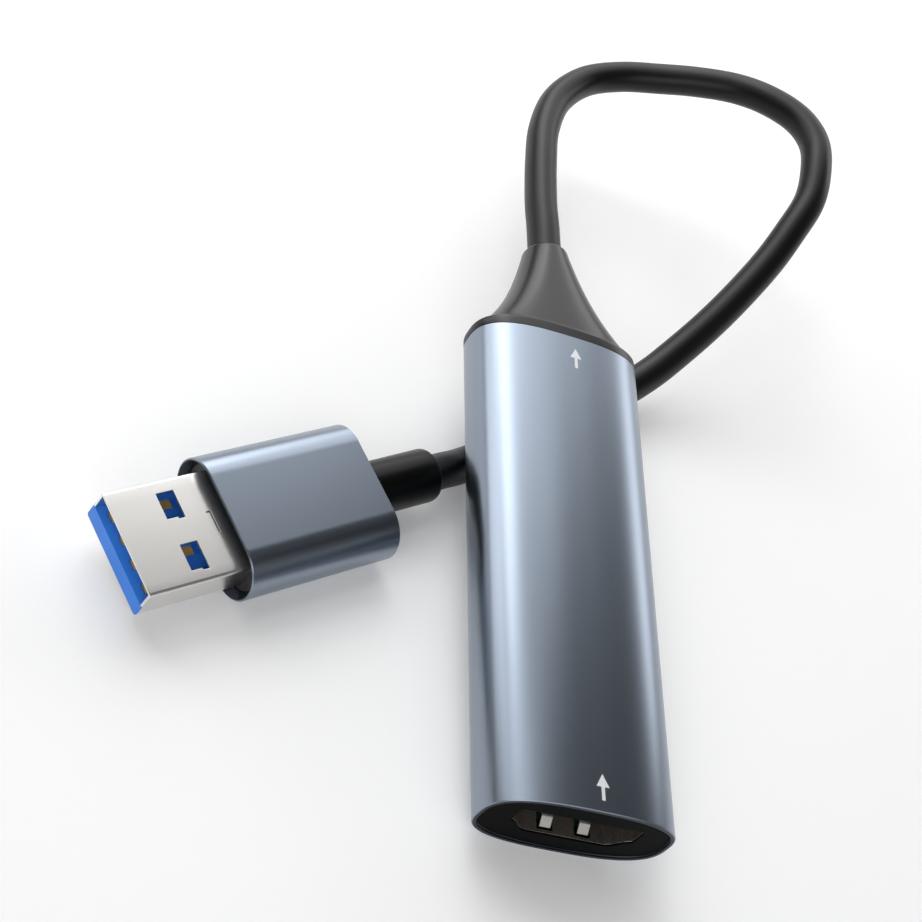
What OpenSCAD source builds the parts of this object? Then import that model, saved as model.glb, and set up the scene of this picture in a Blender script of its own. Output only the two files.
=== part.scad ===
// Video capture box: an aluminium sleeve with a video input socket at one end,
// a flared boot and a short captive cord at the other, and a flat data plug on the cord.
// Millimetres, +Z up. The box leans on its own cord, as it lies on a table.

/* [Sleeve] */
// Width of the sleeve
sleeve_w = 22; // [21:0.5:26]
// Height of the sleeve
sleeve_h = 10.5; // [10:0.25:13]
// Length of the sleeve
sleeve_l = 62; // [56:1:80]
// Wall thickness of the sleeve
sleeve_wall = 0.9; // [0.7:0.1:1.1]
// Squareness of the oval section: 2 is an ellipse, more is squarer
squareness = 2.8; // [2.6:0.1:3.4]
// Depth of the bright chamfer on the sleeve's rims
rim_cut = 0.25; // [0.15:0.05:0.4]

/* [Input socket] */
// Width of the socket's mouth
socket_w = 14; // [13.6:0.1:14.2]
// Height of the socket's mouth
socket_h = 4.55; // [4.4:0.05:4.7]
// Width of the narrow side of the mouth
socket_foot = 9.3; // [8.8:0.1:10]
// Depth of the socket
socket_depth = 11.2; // [10.5:0.1:12]
// Thickness of the socket's sheet metal
socket_t = 0.3; // [0.25:0.05:0.35]
// Spacing of the socket's contacts
pin_pitch = 0.5; // [0.45:0.05:0.5]
// Thickness of the end bezel
bezel_t = 1.8; // [1.2:0.1:2.4]
// How far the bezel sits inside the sleeve's end
bezel_recess = 0.2; // [0.1:0.05:0.4]

/* [Board] */
// Thickness of the circuit board
board_t = 0.8; // [0.6:0.1:0.8]
// Length of the circuit board
board_l = 46; // [45:1:48]
// Side of the main chip
chip_side = 8; // [6:0.5:9]
// Thickness of the carrier's roof
roof_t = 1.1; // [0.8:0.1:1.2]

/* [Cord boot] */
// Thickness of the boot's flange
flange_t = 1.3; // [1:0.1:2]
// Length of the flare, from the flange to the neck's end
flare_l = 15.9; // [13:0.1:20]
// Diameter of the neck's end
neck_d = 6.1; // [5.8:0.1:7.5]
// Share of the flare's width that falls evenly; the rest falls fast beside the flange
flare_even = 0.55; // [0:0.05:1]
// How fast that rest falls: 1 is even, 3 is hollow
flare_bend = 2.8; // [1.2:0.1:4]
// Length of the spigot inside the sleeve
spigot_l = 5; // [4:0.5:6]

/* [Cord] */
// Diameter of the cord
cord_d = 4.3; // [3.8:0.1:4.4]

/* [Plug] */
// Width of the plug's sleeve
grip_w = 16.5; // [15.9:0.1:18]
// Height of the plug's sleeve
grip_h = 7.6; // [7.4:0.1:9]
// Length of the plug's sleeve
grip_l = 19.8; // [18:0.2:24]
// Wall thickness of the plug's sleeve
grip_wall = 0.8; // [0.6:0.1:0.9]
// Diameter of the strain relief
relief_d = 6.3; // [5.6:0.1:6.6]
// Length of the strain relief
relief_l = 9.8; // [7:0.1:12]
// Width of the plug's metal shell
blade_w = 12; // [11.9:0.05:12.1]
// Height of the plug's metal shell
blade_h = 4.5; // [4.4:0.05:4.6]
// Length of metal shell outside the sleeve
blade_out = 11.6; // [11.4:0.1:13]
// Thickness of the plug's sheet metal
blade_t = 0.3; // [0.25:0.05:0.35]

/* [Hidden] */
$fn = 48;

anodised = [0.47, 0.51, 0.58];
black = [0.07, 0.07, 0.08];
steel = [0.80, 0.80, 0.79];
gold = [0.80, 0.60, 0.26];
blue = [0.16, 0.42, 1.00];
green = [0.05, 0.28, 0.16];

// Number of points round the sleeve's section, and round the flare
oval_steps = 96;
flare_steps = 48;

// Bore of the sleeve
bore_w = sleeve_w - 2 * sleeve_wall;
bore_h = sleeve_h - 2 * sleeve_wall;

// Length of the box from the input rim to the neck's end
box_l = sleeve_l + flange_t + flare_l;
neck_r = neck_d / 2;
neck_round = 0.7;
cord_r = cord_d / 2;

// The box leans back until its underside clears the cord that passes below it
cord_gap = 0.1;
cross_back = 10;
lean = asin((cord_d + cord_gap) / (sleeve_l - cross_back));
back_y = -sleeve_h * sin(lean);
front_y = box_l * cos(lean) - (sleeve_h / 2 - neck_r + neck_round) * sin(lean);
mid_y = (back_y + front_y) / 2;

// Centre and direction of the neck's end in the part's frame
exit_dir = [0, cos(lean), sin(lean)];
exit_at = [
    0,
    box_l * cos(lean) - sleeve_h / 2 * sin(lean) - mid_y,
    box_l * sin(lean) + sleeve_h / 2 * cos(lean)];

// Depths along the box, from the input rim
mouth_y = bezel_recess;
bezel_back = bezel_recess + bezel_t;
socket_back = mouth_y + socket_depth;
block_y = socket_back - 3;
tongue_y = mouth_y + 2.4;
spigot_y = sleeve_l - spigot_l;
board_end = bezel_back + board_l;

// Heights inside the box, from its middle plane
tongue_w = 10.6;
tongue_lo = -0.35;
tongue_hi = 0.85;
board_top = -socket_h / 2 - socket_t;
board_bottom = board_top - board_t;
cavity_w = socket_w + 2 * socket_t + 0.2;
shoulder_t = 0.5;
roof_z = min(bore_h / 2 - roof_t, oval_z(bore_w, bore_h, cavity_w / 2 + shoulder_t));

// Spring fingers of the socket: width, place, cut-out, and side view from the mouth and wall
finger_w = 1.25;
finger_x = 2.2;
finger_slot = [0.6, 5.6];
finger_side = [
    [6.2, -0.3], [6.2, -0.1], [2.0, 0.55], [1.4, 0.55], [0.95, 0.25],
    [1.1, 0.1], [1.5, 0.34], [1.9, 0.34], [5.9, -0.3]];

// Contacts of the socket: width and thickness
pin_w = 0.3;
pin_t = 0.15;

// Width of the circuit board: as wide as the carrier's tray holds it
board_w = min(socket_w, 2 * oval_x(bore_w, bore_h, board_bottom) - 1.4);

// Parts on the board: places across it and along it from the bezel, and sizes
chip_x = 0.6;
chip_y = 22;
chip_t = 0.9;
chip_dot = 0.7;
memory_x = -2.6;
memory_y = 32;
memory_w = 3.9;
memory_l = 4.9;
memory_t = 1.3;
memory_pitch = 1.27;
crystal_x = -5;
crystal_y = 14.6;
crystal_w = 2.5;
crystal_l = 3.2;
crystal_t = 0.7;
coil_x = 3.6;
coil_y = 33;
coil_side = 4;
coil_t = 1.6;
regulator_x = 4.2;
regulator_y = 14.8;
regulator_w = 1.6;
regulator_l = 2.9;
regulator_t = 1;
regulator_pitch = 0.95;
leg_lift = 0.1;
leg_l = 1;
leg_w = 0.4;
leg_t = 0.2;
cap_l = 1.6;
cap_w = 0.8;
cap_pitch = 2;

// Places of the capacitors: beside the chip, before it, behind it and behind the coil
cap_places = concat(
    [for (k = [-1.5:1:1.5])
        [chip_x - (chip_side + cap_l) / 2 - cap_w * 1.5, chip_y + k * cap_pitch]],
    [for (k = [-1, 0.2])
        for (side = [-1, 1])
            [chip_x + k * cap_pitch, chip_y + side * (chip_side / 2 + cap_pitch)]],
    [for (k = [0, 1])
        [coil_x + k * cap_pitch, coil_y + coil_side / 2 + cap_pitch]]);

// Wires and crimp ring on the cord's tail
wire_d = 0.8;
wire_pads = [3.75, 0.75, -3.75, -2.25, -0.75, 2.25];
wire_z = board_top + wire_d / 2 + 0.03;
tail_y = spigot_y - 1.5;
ring_t = 0.5;
ring_l = 2.5;

// Shares of the flare's length that carry a ring of its skin
flare_at = [0, 0.03, 0.07, 0.12, 0.18, 0.25, 0.33, 0.42, 0.52, 0.63, 0.75, 0.87, 1];

// Depths along the plug, from the cord's end towards the tip
grip_end = relief_l + grip_l;
tip_y = grip_end + blade_out;
cap_y = relief_l + 2.3;
shell_y = relief_l + 8;
core_end = grip_end - 1;
grip_bore_w = grip_w - 2 * grip_wall;
grip_bore_h = grip_h - 2 * grip_wall;
lip_t = 0.2;
shelf_z = -0.25;
blade_r = 0.35;

// Windows and seam of the plug's shell, measured from its tip
window_x = 3.02;
window_w = 3;
window_y = [5.6, 7.7];
window_nick = [0.8, 0.22];
seam = 0.12;
seam_x = [-1.2, 1.3];
seam_y = [10.7, 10.2];

// Contacts of the plug: places across it, width of a flat one, and depths from the tip
front_x = [-4.15, -1.4, 1.4, 4.15];
rear_x = [-4, -2, 0, 2, 4];
pad_w = 1.1;
pad_y = [8.4, 1.2];
slot_y = [9.2, 1];
root_y = 13.6;

// Place of the plug: its cord end from the neck's end, its turn, and its tilt on one round side
plug_from_exit = [-14.4, -35.1];
plug_turn = 121.7;
plug_tilt = -8;
grip_r = grip_h / 2 - 0.01;
plug_at = [
    exit_at[0] + plug_from_exit[0],
    exit_at[1] + plug_from_exit[1],
    (grip_w / 2 - grip_r) * sin(abs(plug_tilt)) + (grip_h / 2 - grip_r) * cos(plug_tilt) + grip_r];
plug_dir = [-sin(plug_turn), cos(plug_turn), 0];

// Route of the cord from the neck's end: across and along from that end, and up from the table
low = cord_r + 0.05;
cord_points = [
    [0, 10, 12.6], [0.5, 18, 13], [1.5, 25, 13.2], [4, 32, 13.5], [8.5, 37.5, 14.2],
    [14, 40, 15.4], [19.5, 40.2, 17.2], [24.5, 39.5, 19.3], [29.5, 38, 21.4],
    [33.5, 35.2, 23.1], [37, 31.5, 24.1], [38.7, 27, 24.2], [38.5, 22, 23.4],
    [37.5, 17, 21.7], [35.2, 12.5, 19.3], [32.5, 8, 16.4], [29, 3.3, 13.1],
    [25.5, -0.8, 10], [22, -4.4, 7.2], [18.5, -7.8, 5], [14, -11.6, 3.3],
    [9, -15.6, 2.45], [3, -20.5, low], [-2, -24.7, low], [-6.5, -28.5, 2.22],
    [-9.6, -31.1, 2.75], [-12.2, -33.3, 3.75]];
cord_route = concat(
    [exit_at, exit_at + 5 * exit_dir],
    [for (p = cord_points) [exit_at[0] + p[0], exit_at[1] + p[1], p[2]]],
    [plug_at]);
cord_sides = 12;
cord_steps = 2;

// Half width of a squared oval at height z
function oval_x(w, h, z) = w / 2 * pow(1 - pow(abs(2 * z / h), squareness), 1 / squareness);

// Half height of a squared oval at a distance x from its middle
function oval_z(w, h, x) = h / 2 * pow(1 - pow(abs(2 * x / w), squareness), 1 / squareness);

// Outline of a squared oval
function oval(w, h, steps = oval_steps, n = squareness) = [
    for (i = [0:steps - 1])
        let (c = cos(360 * i / steps), s = sin(360 * i / steps))
        [w / 2 * sign(c) * pow(abs(c), 2 / n), h / 2 * sign(s) * pow(abs(s), 2 / n)]];

// Right side of the socket's outline, from its top to its foot, grown by g
function dee_side(g) = let (
    a = socket_w / 2 + g,
    t = socket_h / 2 + g,
    f = socket_foot / 2 + 0.6 * g,
    knee = -0.1 * socket_h)
    concat(
        [[a - 0.5, t], [a - 0.15, t - 0.15], [a, t - 0.5]],
        [for (i = [0:8])
            let (u = i / 8)
            [a - (a - f) * u, knee - (t + knee) * (u - 0.08 * sin(360 * u))]]);

// Outline of the socket, wide side up, grown by g
function dee(g) = let (r = dee_side(g), n = len(r))
    concat(r, [for (i = [n - 1:-1:0]) [-r[i][0], r[i][1]]]);

// Outline with rounded corners of radius r
function round_box(w, h, r, steps) = [
    for (k = [0:3])
        for (i = [0:steps])
            let (t = 90 * k + 90 * i / steps, sx = (k == 0 || k == 3) ? 1 : -1, sy = k < 2 ? 1 : -1)
            [sx * (w / 2 - r) + r * cos(t), sy * (h / 2 - r) + r * sin(t)]];

// Faces of a closed skin over rings that all have the same number of points
function skin_faces(rings, sides) = concat(
    [[for (j = [sides - 1:-1:0]) j]],
    [for (i = [0:rings - 2])
        for (j = [0:sides - 1])
            let (a = i * sides + j, b = i * sides + (j + 1) % sides)
            each [[a, b, a + sides], [b, b + sides, a + sides]]],
    [[for (j = [0:sides - 1]) (rings - 1) * sides + j]]);

// Smooth curve through points: each span cut into steps
function curve(p, steps) = let (
    n = len(p),
    q = concat([2 * p[0] - p[1]], p, [2 * p[n - 1] - p[n - 2]]))
    concat(
        [for (i = [1:n - 1])
            for (k = [0:steps - 1])
                let (t = k / steps)
                0.5 * (2 * q[i] + (q[i + 1] - q[i - 1]) * t
                    + (2 * q[i - 1] - 5 * q[i] + 4 * q[i + 1] - q[i + 2]) * t * t
                    + (3 * q[i] - q[i - 1] - 3 * q[i + 1] + q[i + 2]) * t * t * t)],
        [p[n - 1]]);

// Direction of a path at its point i
function heading(p, i) = let (
    n = len(p),
    d = i == 0 ? p[1] - p[0] : i == n - 1 ? p[n - 1] - p[n - 2] : p[i + 1] - p[i - 1])
    d / norm(d);

// Ring of a round tube: centre c, direction d, radius r
function tube_ring(c, d, r, sides) = let (
    s = cross(d, [0, 0, 1]) / norm(cross(d, [0, 0, 1])),
    u = cross(s, d))
    [for (j = [0:sides - 1]) c + r * (cos(360 * j / sides) * s + sin(360 * j / sides) * u)];

// Stands the children's plan up and runs it along Y between two depths
module along_y(from, to) {
    translate([0, to, 0])
        rotate([90, 0, 0])
            linear_extrude(to - from)
                children();
}

// Runs a side view, drawn as depth and height, across X about the middle
module across_x(width) {
    rotate([90, 0, 90])
        linear_extrude(width, center = true)
            children();
}

// Box between two opposite corners
module block(low_corner, high_corner) {
    translate(low_corner)
        cube(high_corner - low_corner);
}

// Round bar along Y between two depths
module bar_y(d, from, to) {
    translate([0, from, 0])
        rotate([-90, 0, 0])
            cylinder(d = d, h = to - from);
}

// Round tube swept along a path, its end rings square to the given directions
module tube(path, d, sides, first_dir, last_dir) {
    n = len(path);
    rings = [
        for (i = [0:n - 1])
            tube_ring(
                path[i],
                i == 0 ? first_dir : i == n - 1 ? last_dir : heading(path, i),
                d / 2,
                sides)];
    polyhedron(points = [for (r = rings) each r], faces = skin_faces(n, sides));
}

// Places children drawn in the box's own frame: X across, Y from the input rim, Z from its middle
module on_box() {
    translate([0, -mid_y, 0])
        rotate([lean, 0, 0])
            translate([0, 0, sleeve_h / 2])
                children();
}

// Places children drawn in the plug's own frame: Y from the cord's end to the tip
module on_plug() {
    translate(plug_at)
        rotate([0, plug_tilt, plug_turn])
            children();
}

// Ring that cuts the chamfer on a rim of the sleeve, from the rim at y towards dir
module rim_chamfer(y, dir) {
    steps = oval_steps;
    grow = 0.2;
    far = rim_cut + grow;
    outer = oval(sleeve_w + 2, sleeve_h + 2);
    wide = oval(sleeve_w + 2 * grow, sleeve_h + 2 * grow);
    tight = oval(sleeve_w - 2 * rim_cut, sleeve_h - 2 * rim_cut);
    loops = [
        [for (p = outer) [p[0], y - dir * 1, p[1]]],
        [for (p = outer) [p[0], y + dir * far, p[1]]],
        [for (p = wide) [p[0], y + dir * far, p[1]]],
        [for (p = tight) [p[0], y, p[1]]],
        [for (p = tight) [p[0], y - dir * 1, p[1]]]];
    faces = [
        for (i = [0:4])
            for (j = [0:steps - 1])
                let (a = i * steps + j, b = i * steps + (j + 1) % steps, k = (i + 1) % 5 * steps)
                each [
                    [a, k + j, b],
                    [b, k + j, k + (j + 1) % steps]]];
    polyhedron(
        points = [for (r = loops) each r],
        faces = dir < 0 ? faces : [for (f = faces) [f[2], f[1], f[0]]]);
}

// Extruded sleeve, open at both ends
module body_sleeve() {
    color(anodised)
        on_box()
            difference() {
                along_y(0, sleeve_l)
                    polygon(oval(sleeve_w, sleeve_h));
                along_y(-1, sleeve_l + 1)
                    polygon(oval(bore_w, bore_h));
                rim_chamfer(0, 1);
                rim_chamfer(sleeve_l, -1);
            }
}

// End plate round the socket
module input_bezel() {
    color(black)
        on_box()
            difference() {
                along_y(bezel_recess, bezel_back)
                    polygon(oval(bore_w, bore_h));
                along_y(bezel_recess - 1, bezel_back + 1)
                    polygon(dee(socket_t));
            }
}

// Spring finger of the socket, bent towards the middle: up is 1 on the lower wall, -1 on the upper
module socket_finger(x, up) {
    translate([x, mouth_y, -up * socket_h / 2])
        across_x(finger_w)
            polygon([for (p = finger_side) [p[0], up * p[1]]]);
}

// Sheet-metal socket shell with four spring fingers
module socket_shell() {
    color(steel)
        on_box() {
            difference() {
                along_y(mouth_y, socket_back)
                    polygon(dee(socket_t));
                along_y(mouth_y - 1, socket_back + 1)
                    polygon(dee(0));
                for (x = [-finger_x, finger_x])
                    for (up = [-1, 1])
                        translate([x, mouth_y, -up * (socket_h + socket_t) / 2])
                            block(
                                [-finger_w / 2 - 0.3, finger_slot[0], -0.4],
                                [finger_w / 2 + 0.3, finger_slot[1], 0.4]);
            }
            for (x = [-finger_x, finger_x])
                for (up = [-1, 1])
                    socket_finger(x, up);
        }
}

// One contact of the socket: on the tongue, through the block, down to the board
module socket_contact(i) {
    x = (i - 9) * pin_pitch;
    over = i % 2 == 0;
    z = over ? tongue_hi - 0.05 : tongue_lo - pin_t + 0.05;
    tail = socket_back + (over ? 1.2 : 0.4);
    translate([x, 0, 0]) {
        block([-pin_w / 2, tongue_y + 0.8, z], [pin_w / 2, tail + pin_t, z + pin_t]);
        block([-pin_w / 2, tail, board_top], [pin_w / 2, tail + pin_t, z + pin_t]);
        block([-pin_w / 2, tail, board_top], [pin_w / 2, tail + 0.9, board_top + pin_t]);
    }
}

// Insulating block and tongue of the socket
module socket_tongue() {
    color(black)
        on_box()
            difference() {
                union() {
                    along_y(block_y, socket_back)
                        polygon(dee(0));
                    block(
                        [-tongue_w / 2, tongue_y, tongue_lo],
                        [tongue_w / 2, block_y + 1, tongue_hi]);
                }
                for (i = [0:18])
                    socket_contact(i);
            }
}

// Row of socket contacts on both sides of the tongue
module socket_contacts() {
    color(gold)
        on_box()
            for (i = [0:18])
                socket_contact(i);
}

// Lower half of the carrier: a tray for the board
module carrier_lower() {
    color(black)
        on_box()
            difference() {
                along_y(bezel_back, spigot_y)
                    polygon(oval(bore_w, bore_h));
                block([-bore_w, 0, board_top], [bore_w, sleeve_l, bore_h]);
                block([-board_w / 2, 0, board_bottom], [board_w / 2, board_end, board_top + 1]);
            }
}

// Upper half of the carrier: a cover over the board
module carrier_upper() {
    color(black)
        on_box()
            difference() {
                along_y(bezel_back, spigot_y)
                    polygon(oval(bore_w, bore_h));
                block([-bore_w, 0, -bore_h], [bore_w, sleeve_l, board_top]);
                block([-cavity_w / 2, 0, board_top - 1], [cavity_w / 2, sleeve_l, roof_z]);
            }
}

// Circuit board under the socket
module main_board() {
    color(green)
        on_box()
            block(
                [-board_w / 2, bezel_back, board_bottom],
                [board_w / 2, board_end, board_top]);
}

// Body of a part on the board: centre x and y, size, and lift off the board
module on_board(x, y, size, lift = 0) {
    translate([x - size[0] / 2, bezel_back + y - size[1] / 2, board_top + lift])
        cube(size);
}

// Main chip, with the mark of its first corner
module capture_chip() {
    corner = chip_side / 2 - 1.5 * chip_dot;
    color(black)
        on_box()
            difference() {
                on_board(chip_x, chip_y, [chip_side, chip_side, chip_t]);
                translate([chip_x - corner, bezel_back + chip_y - corner, board_top + chip_t - 0.1])
                    cylinder(d = chip_dot, h = 1);
            }
}

// Memory chip with two rows of legs
module memory_chip() {
    color(black)
        on_box() {
            on_board(memory_x, memory_y, [memory_w, memory_l, memory_t], leg_lift);
            for (k = [-1.5:1:1.5])
                for (side = [-1, 1])
                    on_board(
                        memory_x + side * (memory_w + leg_l) / 2,
                        memory_y + k * memory_pitch,
                        [leg_l + 0.2, leg_w, leg_t]);
        }
}

// Metal can of the clock crystal
module crystal() {
    color(steel)
        on_box()
            on_board(crystal_x, crystal_y, [crystal_w, crystal_l, crystal_t]);
}

// Power coil: a square block with a round face
module power_coil() {
    color([0.25, 0.25, 0.27])
        on_box() {
            on_board(coil_x, coil_y, [coil_side, coil_side, coil_t]);
            translate([coil_x, bezel_back + coil_y, board_top + coil_t])
                cylinder(d = 0.8 * coil_side, h = 0.2);
        }
}

// Voltage regulator with five legs
module regulator() {
    color(black)
        on_box() {
            on_board(regulator_x, regulator_y, [regulator_w, regulator_l, regulator_t], leg_lift);
            for (k = [-1, 0, 1])
                for (side = k == 0 ? [-1] : [-1, 1])
                    on_board(
                        regulator_x + side * (regulator_w + leg_l) / 2,
                        regulator_y + k * regulator_pitch,
                        [leg_l + 0.2, leg_w, leg_t]);
        }
}

// Small capacitors round the chips
module chip_capacitors() {
    color([0.62, 0.50, 0.36])
        on_box()
            for (p = cap_places)
                on_board(p[0], p[1], [cap_l, cap_w, cap_w]);
}

// Insulated wires from the cord's tail to the board
module lead_wires() {
    color([0.75, 0.15, 0.12])
        on_box()
            for (i = [0:5]) {
                t = 60 * i + 30;
                x = 1.2 * cos(t);
                z = 1.2 * sin(t);
                pad = wire_pads[i];
                tube(
                    curve([
                        [pad, board_end - 3, wire_z],
                        [pad, board_end - 1.5, wire_z],
                        [pad + 0.35 * (x - pad), board_end + 1, wire_z + 0.35 * (z - wire_z)],
                        [x, tail_y - 1.5, z],
                        [x, tail_y, z]], 3),
                    wire_d, 8, [0, 1, 0], [0, 1, 0]);
            }
}

// Crimp ring on the cord's tail, let into the spigot
module crimp_ring() {
    color(steel)
        on_box()
            difference() {
                bar_y(cord_d + 2 * ring_t, spigot_y, spigot_y + ring_l);
                bar_y(cord_d, spigot_y - 1, spigot_y + ring_l + 1);
            }
}

// End of the cord's jacket inside the boot
module cord_tail() {
    color(black)
        on_box()
            bar_y(cord_d, tail_y, box_l);
}

// Outline of the flare at a share u of its length, 0 at the flange
function flare_ring(u) = let (
    k = 1 - u,
    a = neck_r + (sleeve_w / 2 - 0.75 - neck_r) * (flare_even * k + (1 - flare_even) * pow(k, flare_bend)),
    b = neck_r + (sleeve_h / 2 - 0.05 - neck_r) * k)
    oval(2 * a, 2 * b, flare_steps, 2 + (squareness - 2) * k);

// Flare skinned from the oval flange to the round neck, with a rounded end
module boot_flare() {
    y0 = sleeve_l + flange_t;
    body_l = flare_l - neck_round;
    skin = concat(
        [[for (p = flare_ring(0)) [p[0], y0 - 0.5, p[1]]]],
        [for (u = flare_at) [for (p = flare_ring(u)) [p[0], y0 + u * body_l, p[1]]]],
        [for (t = [30, 60, 90])
            let (f = (neck_r - neck_round * (1 - cos(t))) / neck_r)
            [for (p = flare_ring(1)) [f * p[0], y0 + body_l + neck_round * sin(t), f * p[1]]]]);
    polyhedron(
        points = [for (r = skin) each r],
        faces = skin_faces(len(skin), flare_steps));
}

// Moulded boot: spigot in the sleeve, flange on its rim, flare to the cord
module cord_boot() {
    color(black)
        on_box()
            difference() {
                union() {
                    along_y(spigot_y, sleeve_l)
                        polygon(oval(bore_w, bore_h));
                    along_y(sleeve_l, sleeve_l + flange_t)
                        polygon(oval(sleeve_w, sleeve_h));
                    boot_flare();
                }
                bar_y(cord_d, spigot_y - 1, box_l + 1);
                bar_y(cord_d + 2 * ring_t, spigot_y - 1, spigot_y + ring_l);
            }
}

// Cord from the neck's end to the plug's strain relief
module cord() {
    color(black)
        tube(curve(cord_route, cord_steps), cord_d, cord_sides, exit_dir, plug_dir);
}

// Strain relief of the plug, with a cap that closes the sleeve's rear
module plug_boot() {
    edge = 0.8;
    stem_r = min(relief_d, grip_bore_h) / 2;
    color(black)
        on_plug()
            difference() {
                union() {
                    rotate([-90, 0, 0])
                        rotate_extrude()
                            polygon(concat(
                                [[0, 0]],
                                [for (t = [-90:15:0])
                                    [relief_d / 2 - edge + edge * cos(t), edge + edge * sin(t)]],
                                [[relief_d / 2, relief_l], [stem_r, relief_l],
                                    [stem_r, relief_l + 1], [0, relief_l + 1]]));
                    along_y(relief_l + 0.3, cap_y)
                        polygon(round_box(grip_bore_w, grip_bore_h, grip_bore_h / 2 - 0.01, 12));
                }
                bar_y(cord_d, -1, cap_y + 1);
            }
}

// End of the cord's jacket inside the plug
module plug_tail() {
    color(black)
        on_plug()
            bar_y(cord_d, 0, cap_y + 0.8);
}

// Aluminium sleeve of the plug
module plug_sleeve() {
    color(anodised)
        on_plug()
            difference() {
                along_y(relief_l, grip_end)
                    polygon(round_box(grip_w, grip_h, grip_r, 16));
                along_y(relief_l - 1, grip_end + 1)
                    polygon(round_box(grip_bore_w, grip_bore_h, grip_bore_h / 2 - 0.01, 12));
            }
}

// Outline of the plug's shell, shrunk by g
function blade(g) = round_box(blade_w - 2 * g, blade_h - 2 * g, max(blade_r - g, 0.02), 3);

// Moulded core that holds the metal shell in the plug's sleeve
module plug_core() {
    color(black)
        on_plug()
            difference() {
                along_y(cap_y, core_end)
                    polygon(round_box(grip_bore_w, grip_bore_h, grip_bore_h / 2 - 0.01, 12));
                along_y(shell_y, core_end + 1)
                    polygon(blade(0));
                block([-4.6, cap_y - 1, -1.6], [4.6, shell_y + 1, 1.6]);
                bar_y(cord_d, cap_y - 1, cap_y + 0.8);
            }
}

// Front lip of the tongue, which takes the place of the shell's lower edge
module plug_lip() {
    intersection() {
        along_y(tip_y - lip_t, tip_y)
            polygon(blade(0));
        block([-blade_w, 0, -blade_h], [blade_w, tip_y + 1, shelf_z]);
    }
}

// Sheet-metal shell of the plug, with its windows and seam
module plug_shell() {
    color(steel)
        on_plug()
            difference() {
                along_y(shell_y, tip_y)
                    polygon(blade(0));
                along_y(shell_y - 1, tip_y + 1)
                    polygon(blade(blade_t));
                plug_lip();
                for (x = [-window_x, window_x]) {
                    block(
                        [x - window_w / 2, tip_y - window_y[1], -blade_h],
                        [x + window_w / 2, tip_y - window_y[0], blade_h]);
                    block(
                        [x - window_w / 2 - window_nick[1], tip_y - window_y[1], -blade_h],
                        [x, tip_y - window_y[1] + window_nick[0], blade_h]);
                }
                block(
                    [seam_x[0], tip_y - seam_y[0], blade_h / 2 - seam],
                    [seam_x[1], tip_y - seam_y[0] + seam, blade_h]);
                block(
                    [seam_x[1] - seam, tip_y - seam_y[0], blade_h / 2 - seam],
                    [seam_x[1], tip_y - seam_y[1], blade_h]);
                block(
                    [-seam / 2, shell_y, -blade_h],
                    [seam / 2, tip_y, seam - blade_h / 2]);
            }
}

// Flat front contact of the plug, in its slot on the shelf
module front_contact(x) {
    block(
        [x - pad_w / 2, tip_y - pad_y[0], shelf_z - 0.3],
        [x + pad_w / 2, tip_y - pad_y[1], shelf_z - 0.1]);
}

// Sprung rear contact of the plug, raised on the shelf
module rear_contact(x) {
    translate([x, tip_y - root_y, shelf_z])
        across_x(0.6)
            polygon([
                [-0.2, -0.2], [-0.2, 0.05], [2.8, 0.55], [3.4, 0.55], [4, 0.2],
                [4, 0], [3.3, 0.33], [2.8, 0.33], [0.1, -0.2]]);
}

// Blue insulator of the plug: shelf, front lip and rear block
module plug_tongue() {
    color(blue)
        on_plug()
            difference() {
                union() {
                    intersection() {
                        along_y(shell_y + 0.5, tip_y - lip_t)
                            polygon(blade(blade_t));
                        block([-blade_w, 0, -blade_h], [blade_w, tip_y, shelf_z]);
                    }
                    along_y(shell_y + 0.5, tip_y - root_y)
                        polygon(blade(blade_t));
                    plug_lip();
                }
                for (x = front_x)
                    block(
                        [x - pad_w / 2, tip_y - slot_y[0], shelf_z - 0.3],
                        [x + pad_w / 2, tip_y - slot_y[1], shelf_z + 1]);
                for (x = rear_x)
                    rear_contact(x);
            }
}

// Four flat contacts near the plug's mouth
module plug_front_contacts() {
    color(gold)
        on_plug()
            for (x = front_x)
                front_contact(x);
}

// Five sprung contacts behind them
module plug_rear_contacts() {
    color(gold)
        on_plug()
            for (x = rear_x)
                rear_contact(x);
}

// Insulated wires from the cord's tail to the plug's insulator
module plug_wires() {
    color([0.15, 0.45, 0.20])
        on_plug()
            for (i = [0:3]) {
                x = i - 1.5;
                tube(
                    curve([
                        [0.8 * x, cap_y + 0.8, 0],
                        [0.8 * x, cap_y + 1.6, 0],
                        [1.8 * x, shell_y - 0.8, 0],
                        [1.8 * x, shell_y + 0.5, 0]], 3),
                    0.7, 8, [0, 1, 0], [0, 1, 0]);
            }
}

body_sleeve();
input_bezel();
socket_shell();
socket_tongue();
socket_contacts();
carrier_lower();
carrier_upper();
main_board();
capture_chip();
memory_chip();
crystal();
power_coil();
regulator();
chip_capacitors();
lead_wires();
crimp_ring();
cord_tail();
cord_boot();
cord();
plug_boot();
plug_tail();
plug_sleeve();
plug_core();
plug_shell();
plug_tongue();
plug_front_contacts();
plug_rear_contacts();
plug_wires();
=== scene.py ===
"""Looks of a video capture box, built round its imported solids.

Every piece is a surface worked out with numpy in the part's own frame, in metres.
"""
import math

import bmesh
import bpy
import numpy as np
from bpy.props import FloatProperty, FloatVectorProperty, PointerProperty
from mathutils import Matrix, Vector


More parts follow.
